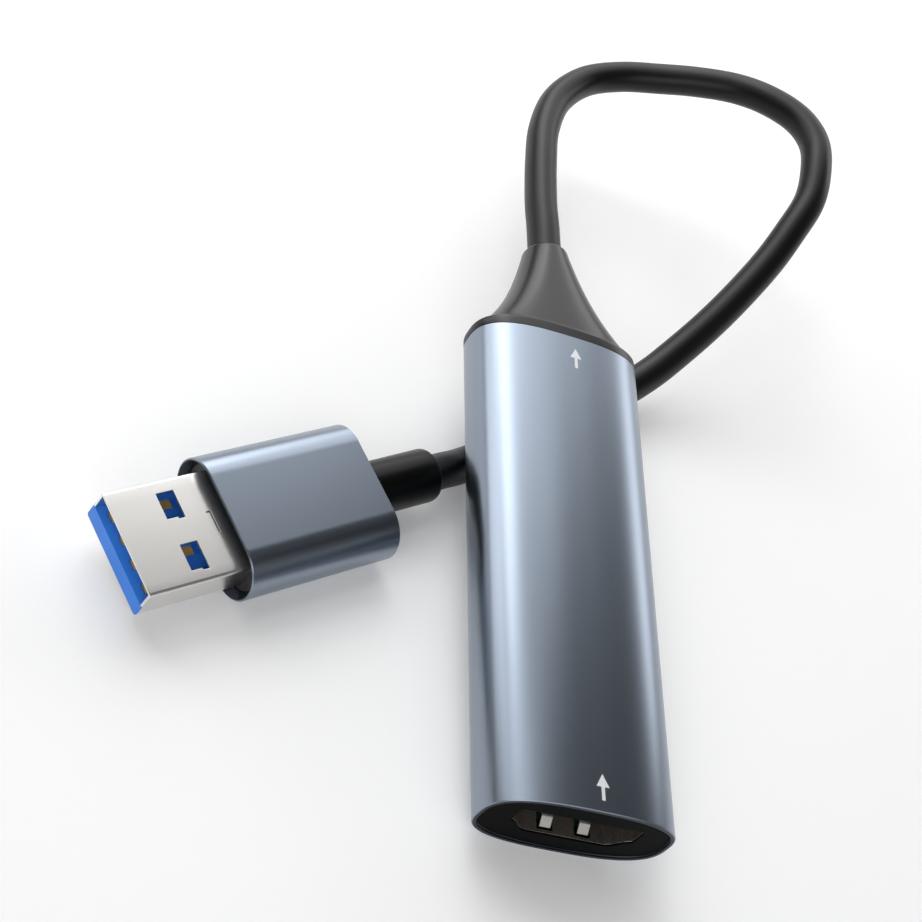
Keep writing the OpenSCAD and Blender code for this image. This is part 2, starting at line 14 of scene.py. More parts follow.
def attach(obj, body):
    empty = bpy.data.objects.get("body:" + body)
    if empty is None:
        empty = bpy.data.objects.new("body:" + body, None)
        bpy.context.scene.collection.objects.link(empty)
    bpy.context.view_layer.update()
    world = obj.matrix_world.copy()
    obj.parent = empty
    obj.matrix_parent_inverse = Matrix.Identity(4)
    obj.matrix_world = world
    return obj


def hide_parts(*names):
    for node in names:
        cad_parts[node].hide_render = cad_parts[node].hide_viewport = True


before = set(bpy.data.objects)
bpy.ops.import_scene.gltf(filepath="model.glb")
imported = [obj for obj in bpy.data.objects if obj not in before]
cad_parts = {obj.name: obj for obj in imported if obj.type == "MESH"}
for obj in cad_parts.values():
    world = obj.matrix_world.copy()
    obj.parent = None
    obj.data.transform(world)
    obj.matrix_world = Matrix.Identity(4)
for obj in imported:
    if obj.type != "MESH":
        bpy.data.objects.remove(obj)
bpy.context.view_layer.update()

bl_info = {
    "name": "Video capture box",
    "version": (1, 0, 0),
    "blender": (4, 5, 0),
    "location": "3D View > Sidebar > Capture box",
    "description": "Builds the looks of a video capture box round its packed solids",
    "category": "Object",
}

MM = 0.001

# Fineness: points of a finished outline, of the dense one that it is picked from, of a corner
OVAL_POINTS = 256
DENSE_POINTS = 4096
CORNER_STEPS = 64

# Points closer than this to a face count as on it
NEAR = 0.01 * MM

# Edges sharper than these stay sharp in the shading, are rounded, or are dissolved
SHARP_ANGLE = math.radians(35)
BEVEL_ANGLE = math.radians(40)
FLAT_ANGLE = math.radians(2)
WELD = 0.002 * MM

# How the box leans on its cord, and how the plug lies beside it
CORD_GAP = 0.1 * MM
CROSS_BACK = 10 * MM
PLUG_FROM_EXIT = (-14.4 * MM, -35.1 * MM)
PLUG_TURN = math.radians(121.7)
PLUG_TILT = math.radians(-8)
SIDE_SHORT = 0.01 * MM

# Route of the cord: across and along from the neck's end, and up from the table, in mm
CORD_POINTS = (
    (0, 10, 12.6), (0.5, 18, 13), (1.5, 25, 13.2), (4, 32, 13.5), (8.5, 37.5, 14.2),
    (14, 40, 15.4), (19.5, 40.2, 17.2), (24.5, 39.5, 19.3), (29.5, 38, 21.4),
    (33.5, 35.2, 23.1), (37, 31.5, 24.1), (38.7, 27, 24.2), (38.5, 22, 23.4),
    (37.5, 17, 21.7), (35.2, 12.5, 19.3), (32.5, 8, 16.4), (29, 3.3, 13.1),
    (25.5, -0.8, 10), (22, -4.4, 7.2), (18.5, -7.8, 5), (14, -11.6, 3.3),
    (9, -15.6, 2.45), (3, -20.5, 2.2), (-2, -24.7, 2.2), (-6.5, -28.5, 2.22),
    (-9.6, -31.1, 2.75), (-12.2, -33.3, 3.75),
)
CORD_LEAD = 5 * MM

# Camera: where it stands, and its right, up and backward directions
CAMERA_AT = (-0.084877, -0.130253, 0.147795)
CAMERA_RIGHT = (0.90339171, -0.04778367, 0.42614569)
CAMERA_UP = (-0.24460668, 0.75881341, 0.6036305)
CAMERA_BACK = (-0.35220874, -0.64955287, 0.67381754)
CAMERA_LENS = 70.83
CAMERA_SENSOR = 36
CAMERA_CLIP = (0.005, 50)


def length(label, millimetres, text):
    """A length in metres that the panel shows, given here in millimetres."""
    return FloatProperty(
        name=label, description=text, default=millimetres * MM, min=0,
        precision=5, subtype="DISTANCE", unit="LENGTH",
    )


def ratio(label, value, text):
    """A plain number that the panel shows."""
    return FloatProperty(name=label, description=text, default=value, min=0)


def tint(label, rgb, text):
    """A colour that the panel shows, in linear values."""
    return FloatVectorProperty(
        name=label, description=text, default=rgb, min=0, max=1, size=3, subtype="COLOR",
    )


class BoxSizes(bpy.types.PropertyGroup):
    """Sizes of the aluminium sleeve, the input socket and the cord boot."""

    width: length("Width", 22, "Width of the sleeve")
    height: length("Height", 10.5, "Height of the sleeve")
    depth: length("Length", 62, "Length of the sleeve")
    wall: length("Wall", 0.9, "Wall thickness of the sleeve")
    squareness: ratio("Squareness", 2.8, "Power of the squared oval section")
    rim: length("Rim chamfer", 0.11, "Depth of the chamfer on the input rim")
    far_rim: length("Far chamfer", 0.07, "Depth of the chamfer at the boot")
    seat: length("Bezel seat", 0.42, "How far the bezel's front reaches over the wall")
    lip: length("Bezel lip", 0.2, "Thickness of the bezel's lip round the socket")
    bezel_recess: length("Bezel recess", 0.2, "How far the bezel sits inside the end")
    bezel: length("Bezel", 1.8, "Thickness of the end bezel")
    socket_width: length("Socket width", 14, "Width of the socket's mouth")
    socket_height: length("Socket height", 4.55, "Height of the socket's mouth")
    socket_foot: length("Socket foot", 9.3, "Width of the mouth's narrow side")
    socket_depth: length("Socket depth", 11.2, "Depth of the socket")
    sheet: length("Socket sheet", 0.3, "Thickness of the socket's sheet metal")
    flange: length("Flange", 1.3, "Thickness of the boot's flange")
    flare: length("Flare", 15.9, "Length of the flare from flange to neck end")
    neck: length("Neck", 6.1, "Diameter of the neck's end")
    neck_round: length("Neck rounding", 0.7, "Radius of the neck's rounded end")
    flare_even: ratio("Even share", 0.55, "Share of the flare's width that falls evenly")
    flare_bend: ratio("Flare bend", 2.8, "How fast the rest of the flare's width falls")
    spigot: length("Spigot", 5, "Length of the boot inside the sleeve")


class CordSizes(bpy.types.PropertyGroup):
    """Sizes of the cord and of the strain relief at its far end."""

    diameter: length("Cord", 4.3, "Diameter of the cord")
    relief: length("Relief", 6.3, "Diameter of the strain relief")
    relief_length: length("Relief length", 9.8, "Length of the strain relief")


class PlugSizes(bpy.types.PropertyGroup):
    """Sizes of the plug on the cord."""

    width: length("Width", 16.5, "Width of the plug's sleeve")
    height: length("Height", 7.6, "Height of the plug's sleeve")
    depth: length("Length", 19.8, "Length of the plug's sleeve")
    wall: length("Wall", 0.8, "Wall thickness of the plug's sleeve")
    blade_width: length("Blade width", 12, "Width of the metal shell")
    blade_height: length("Blade height", 4.5, "Height of the metal shell")
    blade_out: length("Blade length", 11.6, "Length of metal shell outside the sleeve")
    sheet: length("Blade sheet", 0.3, "Thickness of the shell's sheet metal")


class Finishes(bpy.types.PropertyGroup):
    """Colours of the visible finishes."""

    anodised: tint("Anodised", (0.270, 0.312, 0.375), "Satin anodised aluminium")
    # Painted shade: dark colour laid on the sleeve's input rim and inside the plug sleeve's mouth
    painted_rim_shade: tint("Cut rim", (0.05, 0.057, 0.07), "Dull metal inside the rims")
    bezel: tint("Bezel", (0.002, 0.0023, 0.003), "Black plastic of the end bezel")
    boot: tint("Boot", (0.005, 0.005, 0.0053), "Black rubber of the boots")
    jacket: tint("Jacket", (0.002, 0.002, 0.0021), "Black jacket of the cord")
    nickel: tint("Nickel", (0.85, 0.835, 0.81), "Plated sheet of the plug")
    socket: tint("Socket", (0.30, 0.27, 0.235), "Plated sheet of the socket")
    spring: tint("Springs", (0.56, 0.55, 0.52), "Tinned springs of the socket")
    gold: tint("Gold", (1.0, 0.64, 0.2), "Plating of the contacts")
    blue: tint("Blue", (0.045, 0.28, 1.0), "Blue plastic of the plug's insulator")
    ink: tint("Ink", (0.80, 0.82, 0.84), "Printed marks on the sleeve")


class CaptureBoxSettings(bpy.types.PropertyGroup):
    """All sizes and colours of the capture box."""

    box: PointerProperty(type=BoxSizes, name="Box", description="Sizes of the box")
    cord: PointerProperty(type=CordSizes, name="Cord", description="Sizes of the cord")
    plug: PointerProperty(type=PlugSizes, name="Plug", description="Sizes of the plug")
    finish: PointerProperty(type=Finishes, name="Finish", description="Colours")


def settings():
    """The sizes and colours kept on the scene."""
    return bpy.context.scene.capture_box


def box_lean():
    """Angle by which the box leans back on the cord that passes below it."""
    s = settings()
    return math.asin((s.cord.diameter + CORD_GAP) / (s.box.depth - CROSS_BACK))


def box_length():
    """Length of the box from the input rim to the neck's end."""
    b = settings().box
    return b.depth + b.flange + b.flare


def box_middle():
    """Half way between the box's backmost and foremost points, along Y."""
    b, lean = settings().box, box_lean()
    back = -b.height * math.sin(lean)
    drop = b.height / 2 - b.neck / 2 + b.neck_round
    return (back + box_length() * math.cos(lean) - drop * math.sin(lean)) / 2


def on_box(points):
    """Points of the box's own frame in the part's frame.

    They are lifted by half the height, turned back about X by the lean and moved along Y.
    """
    lean = box_lean()
    x, y = points[..., 0], points[..., 1]
    z = points[..., 2] + settings().box.height / 2
    along = y * math.cos(lean) - z * math.sin(lean) - box_middle()
    return np.stack([x, along, y * math.sin(lean) + z * math.cos(lean)], axis=-1)


def neck_end():
    """Centre of the neck's end, where the cord leaves the box."""
    return on_box(np.array([0.0, box_length(), 0.0]))


def plug_origin():
    """Centre of the strain relief's cord end: as high as the tilted plug's low side needs."""
    p, start, tilt = settings().plug, neck_end(), abs(PLUG_TILT)
    side = p.height / 2 - SIDE_SHORT
    rest = (p.width / 2 - side) * math.sin(tilt) + SIDE_SHORT * math.cos(tilt) + side
    return np.array([start[0] + PLUG_FROM_EXIT[0], start[1] + PLUG_FROM_EXIT[1], rest])


def on_plug(points):
    """Points of the plug's own frame in the part's frame.

    They are tilted about the plug's length, turned about Z and moved.
    """
    x, y, z = points[..., 0], points[..., 1], points[..., 2]
    across = math.cos(PLUG_TILT) * x + math.sin(PLUG_TILT) * z
    up = math.cos(PLUG_TILT) * z - math.sin(PLUG_TILT) * x
    c, s = math.cos(PLUG_TURN), math.sin(PLUG_TURN)
    return np.stack([c * across - s * y, s * across + c * y, up], axis=-1) + plug_origin()


def tip_depth():
    """Depth of the plug's tip from the cord end of its strain relief."""
    s = settings()
    return s.cord.relief_length + s.plug.depth + s.plug.blade_out


def spaced(points, count):
    """Points of a closed outline at equal steps of the running length of its sides."""
    loop = np.vstack([points, points[:1]])
    run = np.concatenate([[0], np.cumsum(np.linalg.norm(np.diff(loop, axis=0), axis=1))])
    at = np.linspace(0, run[-1], count, endpoint=False)
    return np.stack([np.interp(at, run, loop[:, i]) for i in (0, 1)], axis=-1)


def squared_oval(half_w, half_h, power, count=OVAL_POINTS):
    """Squared oval: the outline where the powers of x / half_w and z / half_h add to one."""
    t = np.linspace(0, 2 * np.pi, DENSE_POINTS, endpoint=False)
    c, s = np.cos(t), np.sin(t)
    x = half_w * np.sign(c) * np.abs(c) ** (2 / power)
    z = half_h * np.sign(s) * np.abs(s) ** (2 / power)
    return spaced(np.stack([x, z], axis=-1), count)


def round_box(half_w, half_h, radius, count=OVAL_POINTS):
    """Rectangle with round corners: quarter circles about four centres, joined by sides."""
    quarter = np.arange(4)[:, None] * np.pi / 2
    t = np.linspace(0, np.pi / 2, CORNER_STEPS + 1) + quarter
    middle = quarter + np.pi / 4
    x = np.sign(np.cos(middle)) * (half_w - radius) + radius * np.cos(t)
    z = np.sign(np.sin(middle)) * (half_h - radius) + radius * np.sin(t)
    dense = np.stack([x.ravel(), z.ravel()], axis=-1)
    start = np.array([[half_w, 0.0]])
    return spaced(np.vstack([start, dense]), count)


def rounded(corners, radii, steps=4):
    """Closed profile with each corner cut by an arc.

    The arc leaves each side at radius / tan(half the corner's angle) from the corner, and
    its points turn evenly about the centre from the first side to the second.
    """
    p = np.asarray(corners, float)
    r = np.asarray(radii, float)[:, None]
    back, on = np.roll(p, 1, 0) - p, np.roll(p, -1, 0) - p
    back /= np.linalg.norm(back, axis=1, keepdims=True)
    on /= np.linalg.norm(on, axis=1, keepdims=True)
    half = np.arccos(np.clip(np.sum(back * on, axis=1, keepdims=True), -1, 1)) / 2
    reach = r / np.tan(half)
    inward = back + on
    centre = p + inward / np.linalg.norm(inward, axis=1, keepdims=True) * r / np.sin(half)
    first, last = p + back * reach - centre, p + on * reach - centre
    turn = (np.pi - 2 * half)[:, None]
    f = np.linspace(0, 1, steps + 1)[None, :, None]
    arc = (np.sin((1 - f) * turn) * first[:, None] + np.sin(f * turn) * last[:, None])
    return (centre[:, None] + arc / np.sin(turn)).reshape(-1, 2)


def ring(outline, depth):
    """Outline of x and z stood at one depth along Y."""
    return np.stack([outline[:, 0], np.full(len(outline), depth), outline[:, 1]], axis=-1)


def through_points(points, steps):
    """Smooth curve through points: on each span a cubic whose slopes are half the chord
    between the neighbours, cut into equal steps."""
    p = np.asarray(points, float)
    q = np.vstack([2 * p[0] - p[1], p, 2 * p[-1] - p[-2]])
    t = (np.arange(steps) / steps)[None, :, None]
    a, b, c, d = (q[i:len(q) - 3 + i, None] for i in range(4))
    spans = 0.5 * (2 * b + (c - a) * t + (2 * a - 5 * b + 4 * c - d) * t ** 2
                   + (3 * b - a - 3 * c + d) * t ** 3)
    return np.vstack([spans.reshape(-1, 3), p[-1:]])


def grid_quads(rows, count, around=False, along=False):
    """Quads of a grid of points, by rows and columns, as four point numbers each.

    around joins the last point of each row to its first, along the last row to the first.
    """
    r = np.arange(rows if along else rows - 1)[:, None]
    k = np.arange(count if around else count - 1)[None, :]
    here, there = r * count, (r + 1) % rows * count
    k2 = (k + 1) % count
    return np.stack([here + k, here + k2, there + k2, there + k], axis=-1)


def outward(points, quads):
    """Quads turned so that the volume they enclose, summed over two triangles each, is positive."""
    a, b, c, d = (points[quads[:, i]] for i in range(4))
    volume = np.sum(a * (np.cross(b, c) + np.cross(c, d)))
    return quads if volume > 0 else quads[:, ::-1]


def show_mesh(name, mesh, finish, replaced):
    """Object for a mesh: smooth but for its sharp edges, riding on the part's only body."""
    mesh.polygons.foreach_set("use_smooth", np.ones(len(mesh.polygons), bool))
    mesh.set_sharp_from_angle(angle=SHARP_ANGLE)
    mesh.materials.clear()
    mesh.materials.append(finish)
    piece = bpy.data.objects.new(name, mesh)
    bpy.context.scene.collection.objects.link(piece)
    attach(piece, "root")
    if replaced:
        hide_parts(*replaced)
    return piece


def add_piece(name, points, faces, finish, replaced=()):
    """Puts points and faces into a piece."""
    mesh = bpy.data.meshes.new(name)
    mesh.from_pydata(points.reshape(-1, 3).tolist(), [], faces)
    mesh.update()
    return show_mesh(name, mesh, finish, replaced)


def even_shading(piece):
    """Lets the large faces of a piece rule the shading beside its small roundings."""
    shading = piece.modifiers.new("even_shading", "WEIGHTED_NORMAL")
    shading.keep_sharp = True
    return piece


def loft_piece(name, rings, finish, replaced=(), closed=True):
    """Closed surface through rings: a ring of rings, or a tube with a flat cap at each end."""
    rows, count = rings.shape[:2]
    points = rings.reshape(-1, 3)
    quads = grid_quads(rows, count, around=True, along=closed).reshape(-1, 4)
    kept = outward(points, quads)
    faces = kept.tolist()
    if not closed:
        caps = [list(range(count - 1, -1, -1)), list(range((rows - 1) * count, rows * count))]
        turned = kept is not quads
        faces += [cap[::-1] for cap in caps] if turned else caps
    return add_piece(name, points, faces, finish, replaced)


def mark_painted_shade(piece, values):
    """Keeps on each point how far it takes the painted shade of the rims, from 0 to 1."""
    edge = piece.data.attributes.new("painted_rim_shade", "FLOAT", "POINT")
    edge.data.foreach_set("value", np.asarray(values, np.float32).ravel())


def thicken(piece, thickness, offset, bevel):
    """Gives a sheet its thickness and takes the sharpness off its edges."""
    wall = piece.modifiers.new("sheet", "SOLIDIFY")
    wall.thickness = thickness
    wall.offset = offset
    wall.use_even_offset = True
    soften(piece, bevel)


def soften(piece, width, segments=2):
    """Rounds the edges of a piece where its faces meet at an angle."""
    edge = piece.modifiers.new("edges", "BEVEL")
    edge.width = width
    edge.segments = segments
    edge.limit_method = "ANGLE"
    edge.angle_limit = BEVEL_ANGLE
    edge.harden_normals = True


class Recipe:
    """A material under construction: its nodes, and links between them by name."""

    def __init__(self, name):
        self.material = bpy.data.materials.new(name)
        self.material.use_nodes = True
        self.nodes = self.material.node_tree.nodes
        self.links = self.material.node_tree.links
        self.shader = self.nodes["Principled BSDF"]

    def node(self, kind, values=(), **attributes):
        made = self.nodes.new(kind)
        for key, value in attributes.items():
            setattr(made, key, value)
        for key, value in dict(values).items():
            made.inputs[key].default_value = value
        return made

    def link(self, source, target):
        self.links.new(source, target)

    def place(self, turn, stretch):
        """Object coordinates turned into a piece's own directions and stretched along them."""
        where = self.node("ShaderNodeTexCoord")
        mapping = self.node(
            "ShaderNodeMapping", {"Rotation": turn, "Scale": stretch}, vector_type="TEXTURE")
        self.link(where.outputs["Object"], mapping.inputs["Vector"])
        return mapping.outputs["Vector"]

    def noise(self, where, scale, detail=2.0, roughness=0.5):
        made = self.node(
            "ShaderNodeTexNoise", {"Scale": scale, "Detail": detail, "Roughness": roughness})
        self.link(where, made.inputs["Vector"])
        return made.outputs["Fac"]

    def between(self, amount, low, high, span=(0.35, 0.65)):
        """Carries an amount from a span to the values low to high."""
        made = self.node("ShaderNodeMapRange", {
            "From Min": span[0], "From Max": span[1], "To Min": low, "To Max": high})
        self.link(amount, made.inputs["Value"])
        return made.outputs["Result"]

    def blend(self, amount, first, second):
        """Mix of two colours, each a socket or a plain colour."""
        made = self.node("ShaderNodeMix", data_type="RGBA")
        self.link(amount, made.inputs[0])
        for value, socket in ((first, made.inputs[6]), (second, made.inputs[7])):
            if isinstance(value, bpy.types.NodeSocket):
                self.link(value, socket)
            else:
                socket.default_value = (*value, 1)
        return made.outputs[2]

    def mix(self, amount, first, second):
        """Mix of two numbers, the first a socket."""
        made = self.node("ShaderNodeMix", {3: second}, data_type="FLOAT")
        self.link(amount, made.inputs[0])
        self.link(first, made.inputs[2])
        return made.outputs[0]

    def pair(self, operation, first, second):
        """Two amounts put through a sum of the named kind."""
        made = self.node("ShaderNodeMath", operation=operation)
        self.link(first, made.inputs[0])
        self.link(second, made.inputs[1])
        return made.outputs[0]

    def most(self, first, second):
        """The larger of two amounts."""
        return self.pair("MAXIMUM", first, second)

    def times(self, first, second):
        """Two amounts multiplied."""
        return self.pair("MULTIPLY", first, second)

    def reach(self):
        """Distance from the object's origin."""
        where = self.node("ShaderNodeTexCoord")
        made = self.node("ShaderNodeVectorMath", operation="LENGTH")
        self.link(where.outputs["Object"], made.inputs[0])
        return made.outputs["Value"]

    def bump(self, height, depth):
        """Normal bent by a height of the given depth."""
        made = self.node("ShaderNodeBump", {"Strength": 1.0, "Distance": depth})
        self.link(height, made.inputs["Height"])
        return made.outputs["Normal"]


def shaded(colour, factor):
    """A colour made darker or lighter by a factor."""
    return tuple(min(1.0, c * factor) for c in colour)


def surface_finish(
        name, colour, shade=0.9, metal=0.0, rough=(0.35, 0.45), grain=5000, depth=1.5e-6,
        cloud=90, turn=(0, 0, 0), stretch=(1, 1, 1), specular=0.5, cut=None):
    """Finish with cloudy colour, grainy roughness and a fine bump, all on Object coordinates.

    cut is a painted shade: the dark colour and the roughness laid where the piece marks its rims as
    shaded.
    """
    r = Recipe(name)
    where = r.place(turn, stretch)
    clouds = r.noise(where, cloud, 4.0, 0.6)
    grains = r.noise(where, grain, 2.0, 0.55)
    paint = r.blend(r.between(clouds, 0, 1), shaded(colour, shade), tuple(colour))
    gloss = r.between(grains, *rough)
    # Painted shade: colour and roughness blended toward the dark rim values where the attribute
    # marks the rims
    if cut is not None:
        edge = r.node("ShaderNodeAttribute", attribute_name="painted_rim_shade").outputs["Fac"]
        paint = r.blend(edge, paint, cut[0])
        gloss = r.mix(edge, gloss, cut[1])
    r.link(paint, r.shader.inputs["Base Color"])
    r.link(gloss, r.shader.inputs["Roughness"])
    r.link(r.bump(grains, depth), r.shader.inputs["Normal"])
    r.shader.inputs["Metallic"].default_value = metal
    r.shader.inputs["Specular IOR Level"].default_value = specular
    return r.material


def anodised_finish():
    """Satin anodised aluminium: even blue-grey, fine blasted grain, and painted shade, dark and
    duller, on the marked rims.
    """
    made = bpy.data.materials.get("anodised_aluminium")
    if made is None:
        f = settings().finish
        made = surface_finish(
            "anodised_aluminium", f.anodised, shade=0.97, metal=1.0, rough=(0.295, 0.31),
            grain=7000, depth=6e-8, cloud=40, cut=(tuple(f.painted_rim_shade), 0.4))
    return made


def nickel_finish():
    """Plated sheet of the plug: faint rolling lines along it."""
    return surface_finish(
        "plug_nickel", settings().finish.nickel, shade=0.97, metal=1.0, rough=(0.275, 0.285),
        grain=2500, depth=1.5e-8, cloud=60, turn=(0, PLUG_TILT, PLUG_TURN),
        stretch=(1, 14, 1))


def socket_finish():
    """Plated sheet of the socket: darker, with pressing marks along its depth."""
    return surface_finish(
        "socket_nickel", settings().finish.socket, shade=0.8, metal=0.8, rough=(0.24, 0.36),
        grain=2200, depth=3e-7, cloud=260, turn=(box_lean(), 0, 0), stretch=(1, 9, 1))


def spring_finish():
    """Tinned sheet of the socket's springs: pale and rather dull."""
    return surface_finish(
        "spring_tin", settings().finish.spring, shade=0.9, metal=0.9, rough=(0.42, 0.52),
        grain=3000, depth=3e-7, cloud=400, turn=(box_lean(), 0, 0), stretch=(1, 6, 1))


def gold_finish():
    """Gold plating, a little cloudy."""
    made = bpy.data.materials.get("contact_gold")
    if made is None:
        made = surface_finish(
            "contact_gold", settings().finish.gold, shade=0.85, metal=0.35, rough=(0.3, 0.34),
            grain=3000, depth=1e-7, cloud=400)
    return made


CORD_STEPS = 12
CORD_SIDES = 40


def cord_route():
    """Points of the cord's route: out of the neck, round the loop, into the strain relief."""
    start, lean = neck_end(), box_lean()
    ahead = np.array([0, math.cos(lean), math.sin(lean)])
    loop = np.array(CORD_POINTS) * MM + np.array([start[0], start[1], 0])
    plug = plug_origin()
    plug_way = np.array([-math.sin(PLUG_TURN), math.cos(PLUG_TURN), 0])
    route = np.vstack([start, start + CORD_LEAD * ahead, loop, plug])
    return route, ahead, plug_way


def cord_line():
    """The cord's centreline, close enough together to have its length, and its directions."""
    route, ahead, plug_way = cord_route()
    line = through_points(route, CORD_STEPS)
    way = np.gradient(line, axis=0)
    way[0], way[-1] = ahead, plug_way
    return line, way / np.linalg.norm(way, axis=1, keepdims=True)


def make_cord():
    """Jacket: a circle carried along the route, square to it at every point."""
    line, way = cord_line()
    radius = settings().cord.diameter / 2
    side = np.cross(way, [0, 0, 1])
    side /= np.linalg.norm(side, axis=1, keepdims=True)
    up = np.cross(side, way)
    t = np.linspace(0, 2 * np.pi, CORD_SIDES, endpoint=False)[None, :, None]
    rings = line[:, None] + radius * (np.cos(t) * side[:, None] + np.sin(t) * up[:, None])
    jacket = surface_finish(
        "cord_jacket", settings().finish.jacket, shade=0.8, rough=(0.38, 0.42), grain=4200,
        depth=6e-8, cloud=150, specular=0.33)
    return loft_piece("cord_jacket", rings, jacket, ["cord"], closed=False)


# Roundings of the corners in the profile of the sleeve's wall
SLEEVE_ROUNDS = np.array([0.05, 0.02, 0.02, 0.08, 0.05, 0.03, 0.04, 0.05]) * MM


def make_sleeve():
    """Sleeve: the wall's profile, with its chamfers, carried round the squared oval.

    Each profile point is an inset from the outside and a depth from the input rim. The wall
    is cut back inside the input rim, where the bezel sits.
    """
    b = settings().box
    cut, far, wall = b.rim, b.far_rim, b.wall
    mouth = wall - b.seat
    profile = rounded(
        [(0, cut), (0, b.depth - far), (far, b.depth), (wall, b.depth),
         (wall, b.bezel_recess + b.seat), (mouth, b.bezel_recess), (mouth, 0), (cut, 0)],
        SLEEVE_ROUNDS)
    rings = np.stack([
        ring(squared_oval(b.width / 2 - d, b.height / 2 - d, b.squareness), y)
        for d, y in profile])
    piece = loft_piece(
        "sleeve_skin", on_box(rings), anodised_finish(), ["body_sleeve"])
    inset, depth = profile[:, 0], profile[:, 1]
    # Painted shade: the rim's front face and the wall behind it, up to the bezel, are marked dark
    rim_shade_mask = (inset > cut - NEAR) & (depth < b.bezel_recess + NEAR)
    mark_painted_shade(piece, np.repeat(rim_shade_mask, OVAL_POINTS))
    return even_shading(piece)


# Socket: radius of its upper corners, height of its knees and depth of the wave below them as
# shares, and how much of a growth its foot takes
SOCKET_CORNER = 0.5 * MM
SOCKET_KNEE = -0.1
SOCKET_WAVE = 0.08
FOOT_GROWTH = 0.6


def socket_outline(grow=0.0):
    """Right side of the socket's mouth, from its top to its foot, as x and z.

    A round upper corner, a straight side, then a fall to the foot whose height follows the
    share of the way less a small sine wave, which gives the slanted corner its S.
    """
    b = settings().box
    a, t, r = b.socket_width / 2 + grow, b.socket_height / 2 + grow, SOCKET_CORNER
    foot, knee = b.socket_foot / 2 + FOOT_GROWTH * grow, SOCKET_KNEE * b.socket_height
    turn = np.linspace(np.pi / 2, 0, 7)
    corner = np.stack([a - r + r * np.cos(turn), t - r + r * np.sin(turn)], -1)
    u = np.linspace(0, 1, 25)
    wave = SOCKET_WAVE * np.sin(2 * np.pi * u)
    fall = np.stack([a - (a - foot) * u, knee - (t + knee) * (u - wave)], -1)
    return np.vstack([corner, fall])


def mirrored(side):
    """Closed outline from its right side: the left side is the right one turned over."""
    return np.vstack([side, side[::-1] * [-1, 1]])


def directions(angles):
    """Unit vectors of x and z at given angles."""
    return np.stack([np.cos(angles), np.sin(angles)], -1)


def at_angles(outline, angles):
    """Points where rays from the middle at given angles meet an outline that they see whole."""
    own = np.unwrap(np.arctan2(outline[:, 1], outline[:, 0]))
    order = np.argsort(own)
    turns = np.concatenate([own[order] + 2 * np.pi * turn for turn in (-1, 0, 1)])
    x, z = (np.interp(angles, turns, np.tile(outline[order, i], 3)) for i in (0, 1))
    return np.hypot(x, z)[:, None] * directions(angles)


# Bezel: rays round it, its eased edges, its gap to the sleeve and its step back from the mouth
BEZEL_RAYS = 480
BORE_POINTS = 1024
BEZEL_EDGE = 0.05 * MM
BEZEL_AIR = 0.02 * MM
MOUTH_STEP = 0.03 * MM


def make_bezel():
    """Bezel: rays from the middle join the bore's oval to the socket's outline.

    Each profile point is an outline, a step outward along the rays and a depth: a seat in
    the sleeve's mouth, a flat front and a thin lip in front of the socket's sheet.
    """
    b = settings().box
    outer = squared_oval(b.width / 2 - b.wall, b.height / 2 - b.wall, b.squareness, BORE_POINTS)
    inner, behind = (
        spaced(mirrored(socket_outline(grow)), DENSE_POINTS) for grow in (0, b.sheet))
    even = np.linspace(0, 2 * np.pi, BEZEL_RAYS, endpoint=False)
    bends = mirrored(socket_outline())
    corners = np.arctan2(bends[:, 1], bends[:, 0]) % (2 * np.pi)
    angles = np.unique(np.round(np.concatenate([even, corners]), 5))
    bore, mouth, room = (at_angles(line, angles) for line in (outer, inner, behind))
    ray = directions(angles)
    front, back, lip = b.bezel_recess, b.bezel_recess + b.bezel, b.bezel_recess + b.lip
    profile = [
        (bore, 0, back), (bore, 0, front + b.seat + BEZEL_AIR),
        (bore, b.seat - BEZEL_EDGE, front + BEZEL_EDGE + BEZEL_AIR),
        (bore, b.seat - 2 * BEZEL_EDGE, front), (mouth, MOUTH_STEP + BEZEL_EDGE, front),
        (mouth, MOUTH_STEP, front + BEZEL_EDGE), (mouth, MOUTH_STEP, lip),
        (room, 0, lip), (room, 0, back)]
    rings = np.stack([ring(line + ray * step, y) for line, step, y in profile])
    plastic = surface_finish(
        "bezel_plastic", settings().finish.bezel, shade=0.75, rough=(0.52, 0.56), grain=6000,
        depth=2e-7, cloud=200, specular=0.04)
    return even_shading(loft_piece(
        "bezel_plate", on_box(rings), plastic, ["input_bezel"]))


def cell_middles(grid):
    """Middle of each cell of a grid that is closed round its rows."""
    on = np.roll(grid, -1, 1)
    return (grid[:-1] + on[:-1] + grid[1:] + on[1:]) / 4


def cells_piece(name, grid, keep, place, finish, replaced):
    """Sheet over the cells that are kept of a grid closed round its rows."""
    quads = grid_quads(*grid.shape[:2], around=True)[keep]
    used, renumbered = np.unique(quads, return_inverse=True)
    points = place(grid.reshape(-1, 3)[used])
    return add_piece(
        name, points, renumbered.reshape(-1, 4).tolist(), finish, replaced)


# Springs of the socket: where they are across it, their width, their slots in the sheet
FINGER_X = 2.2 * MM
FINGER_W = 1.25 * MM
FINGER_SLOT = (0.6 * MM, 5.6 * MM)
FINGER_ROOM = 0.3 * MM
FINGER_SHEET = 0.2 * MM

# A spring from the side, as depths and heights: a closed profile, of which the bent line is kept
SPRING_CORNERS = np.array(
    [(6.1, -0.2), (2.4, 0.62), (1.85, 0.62), (0.95, -0.1), (0.9, -3), (6.1, -3)]) * MM
SPRING_BENDS = np.array([0.05, 0.5, 0.3, 0.05, 0.05, 0.05]) * MM
SPRING_LINE = slice(3, 21)

# Eased edges of the sheet metal
SHEET_EDGE = 0.05 * MM
SPRING_EDGE = 0.04 * MM


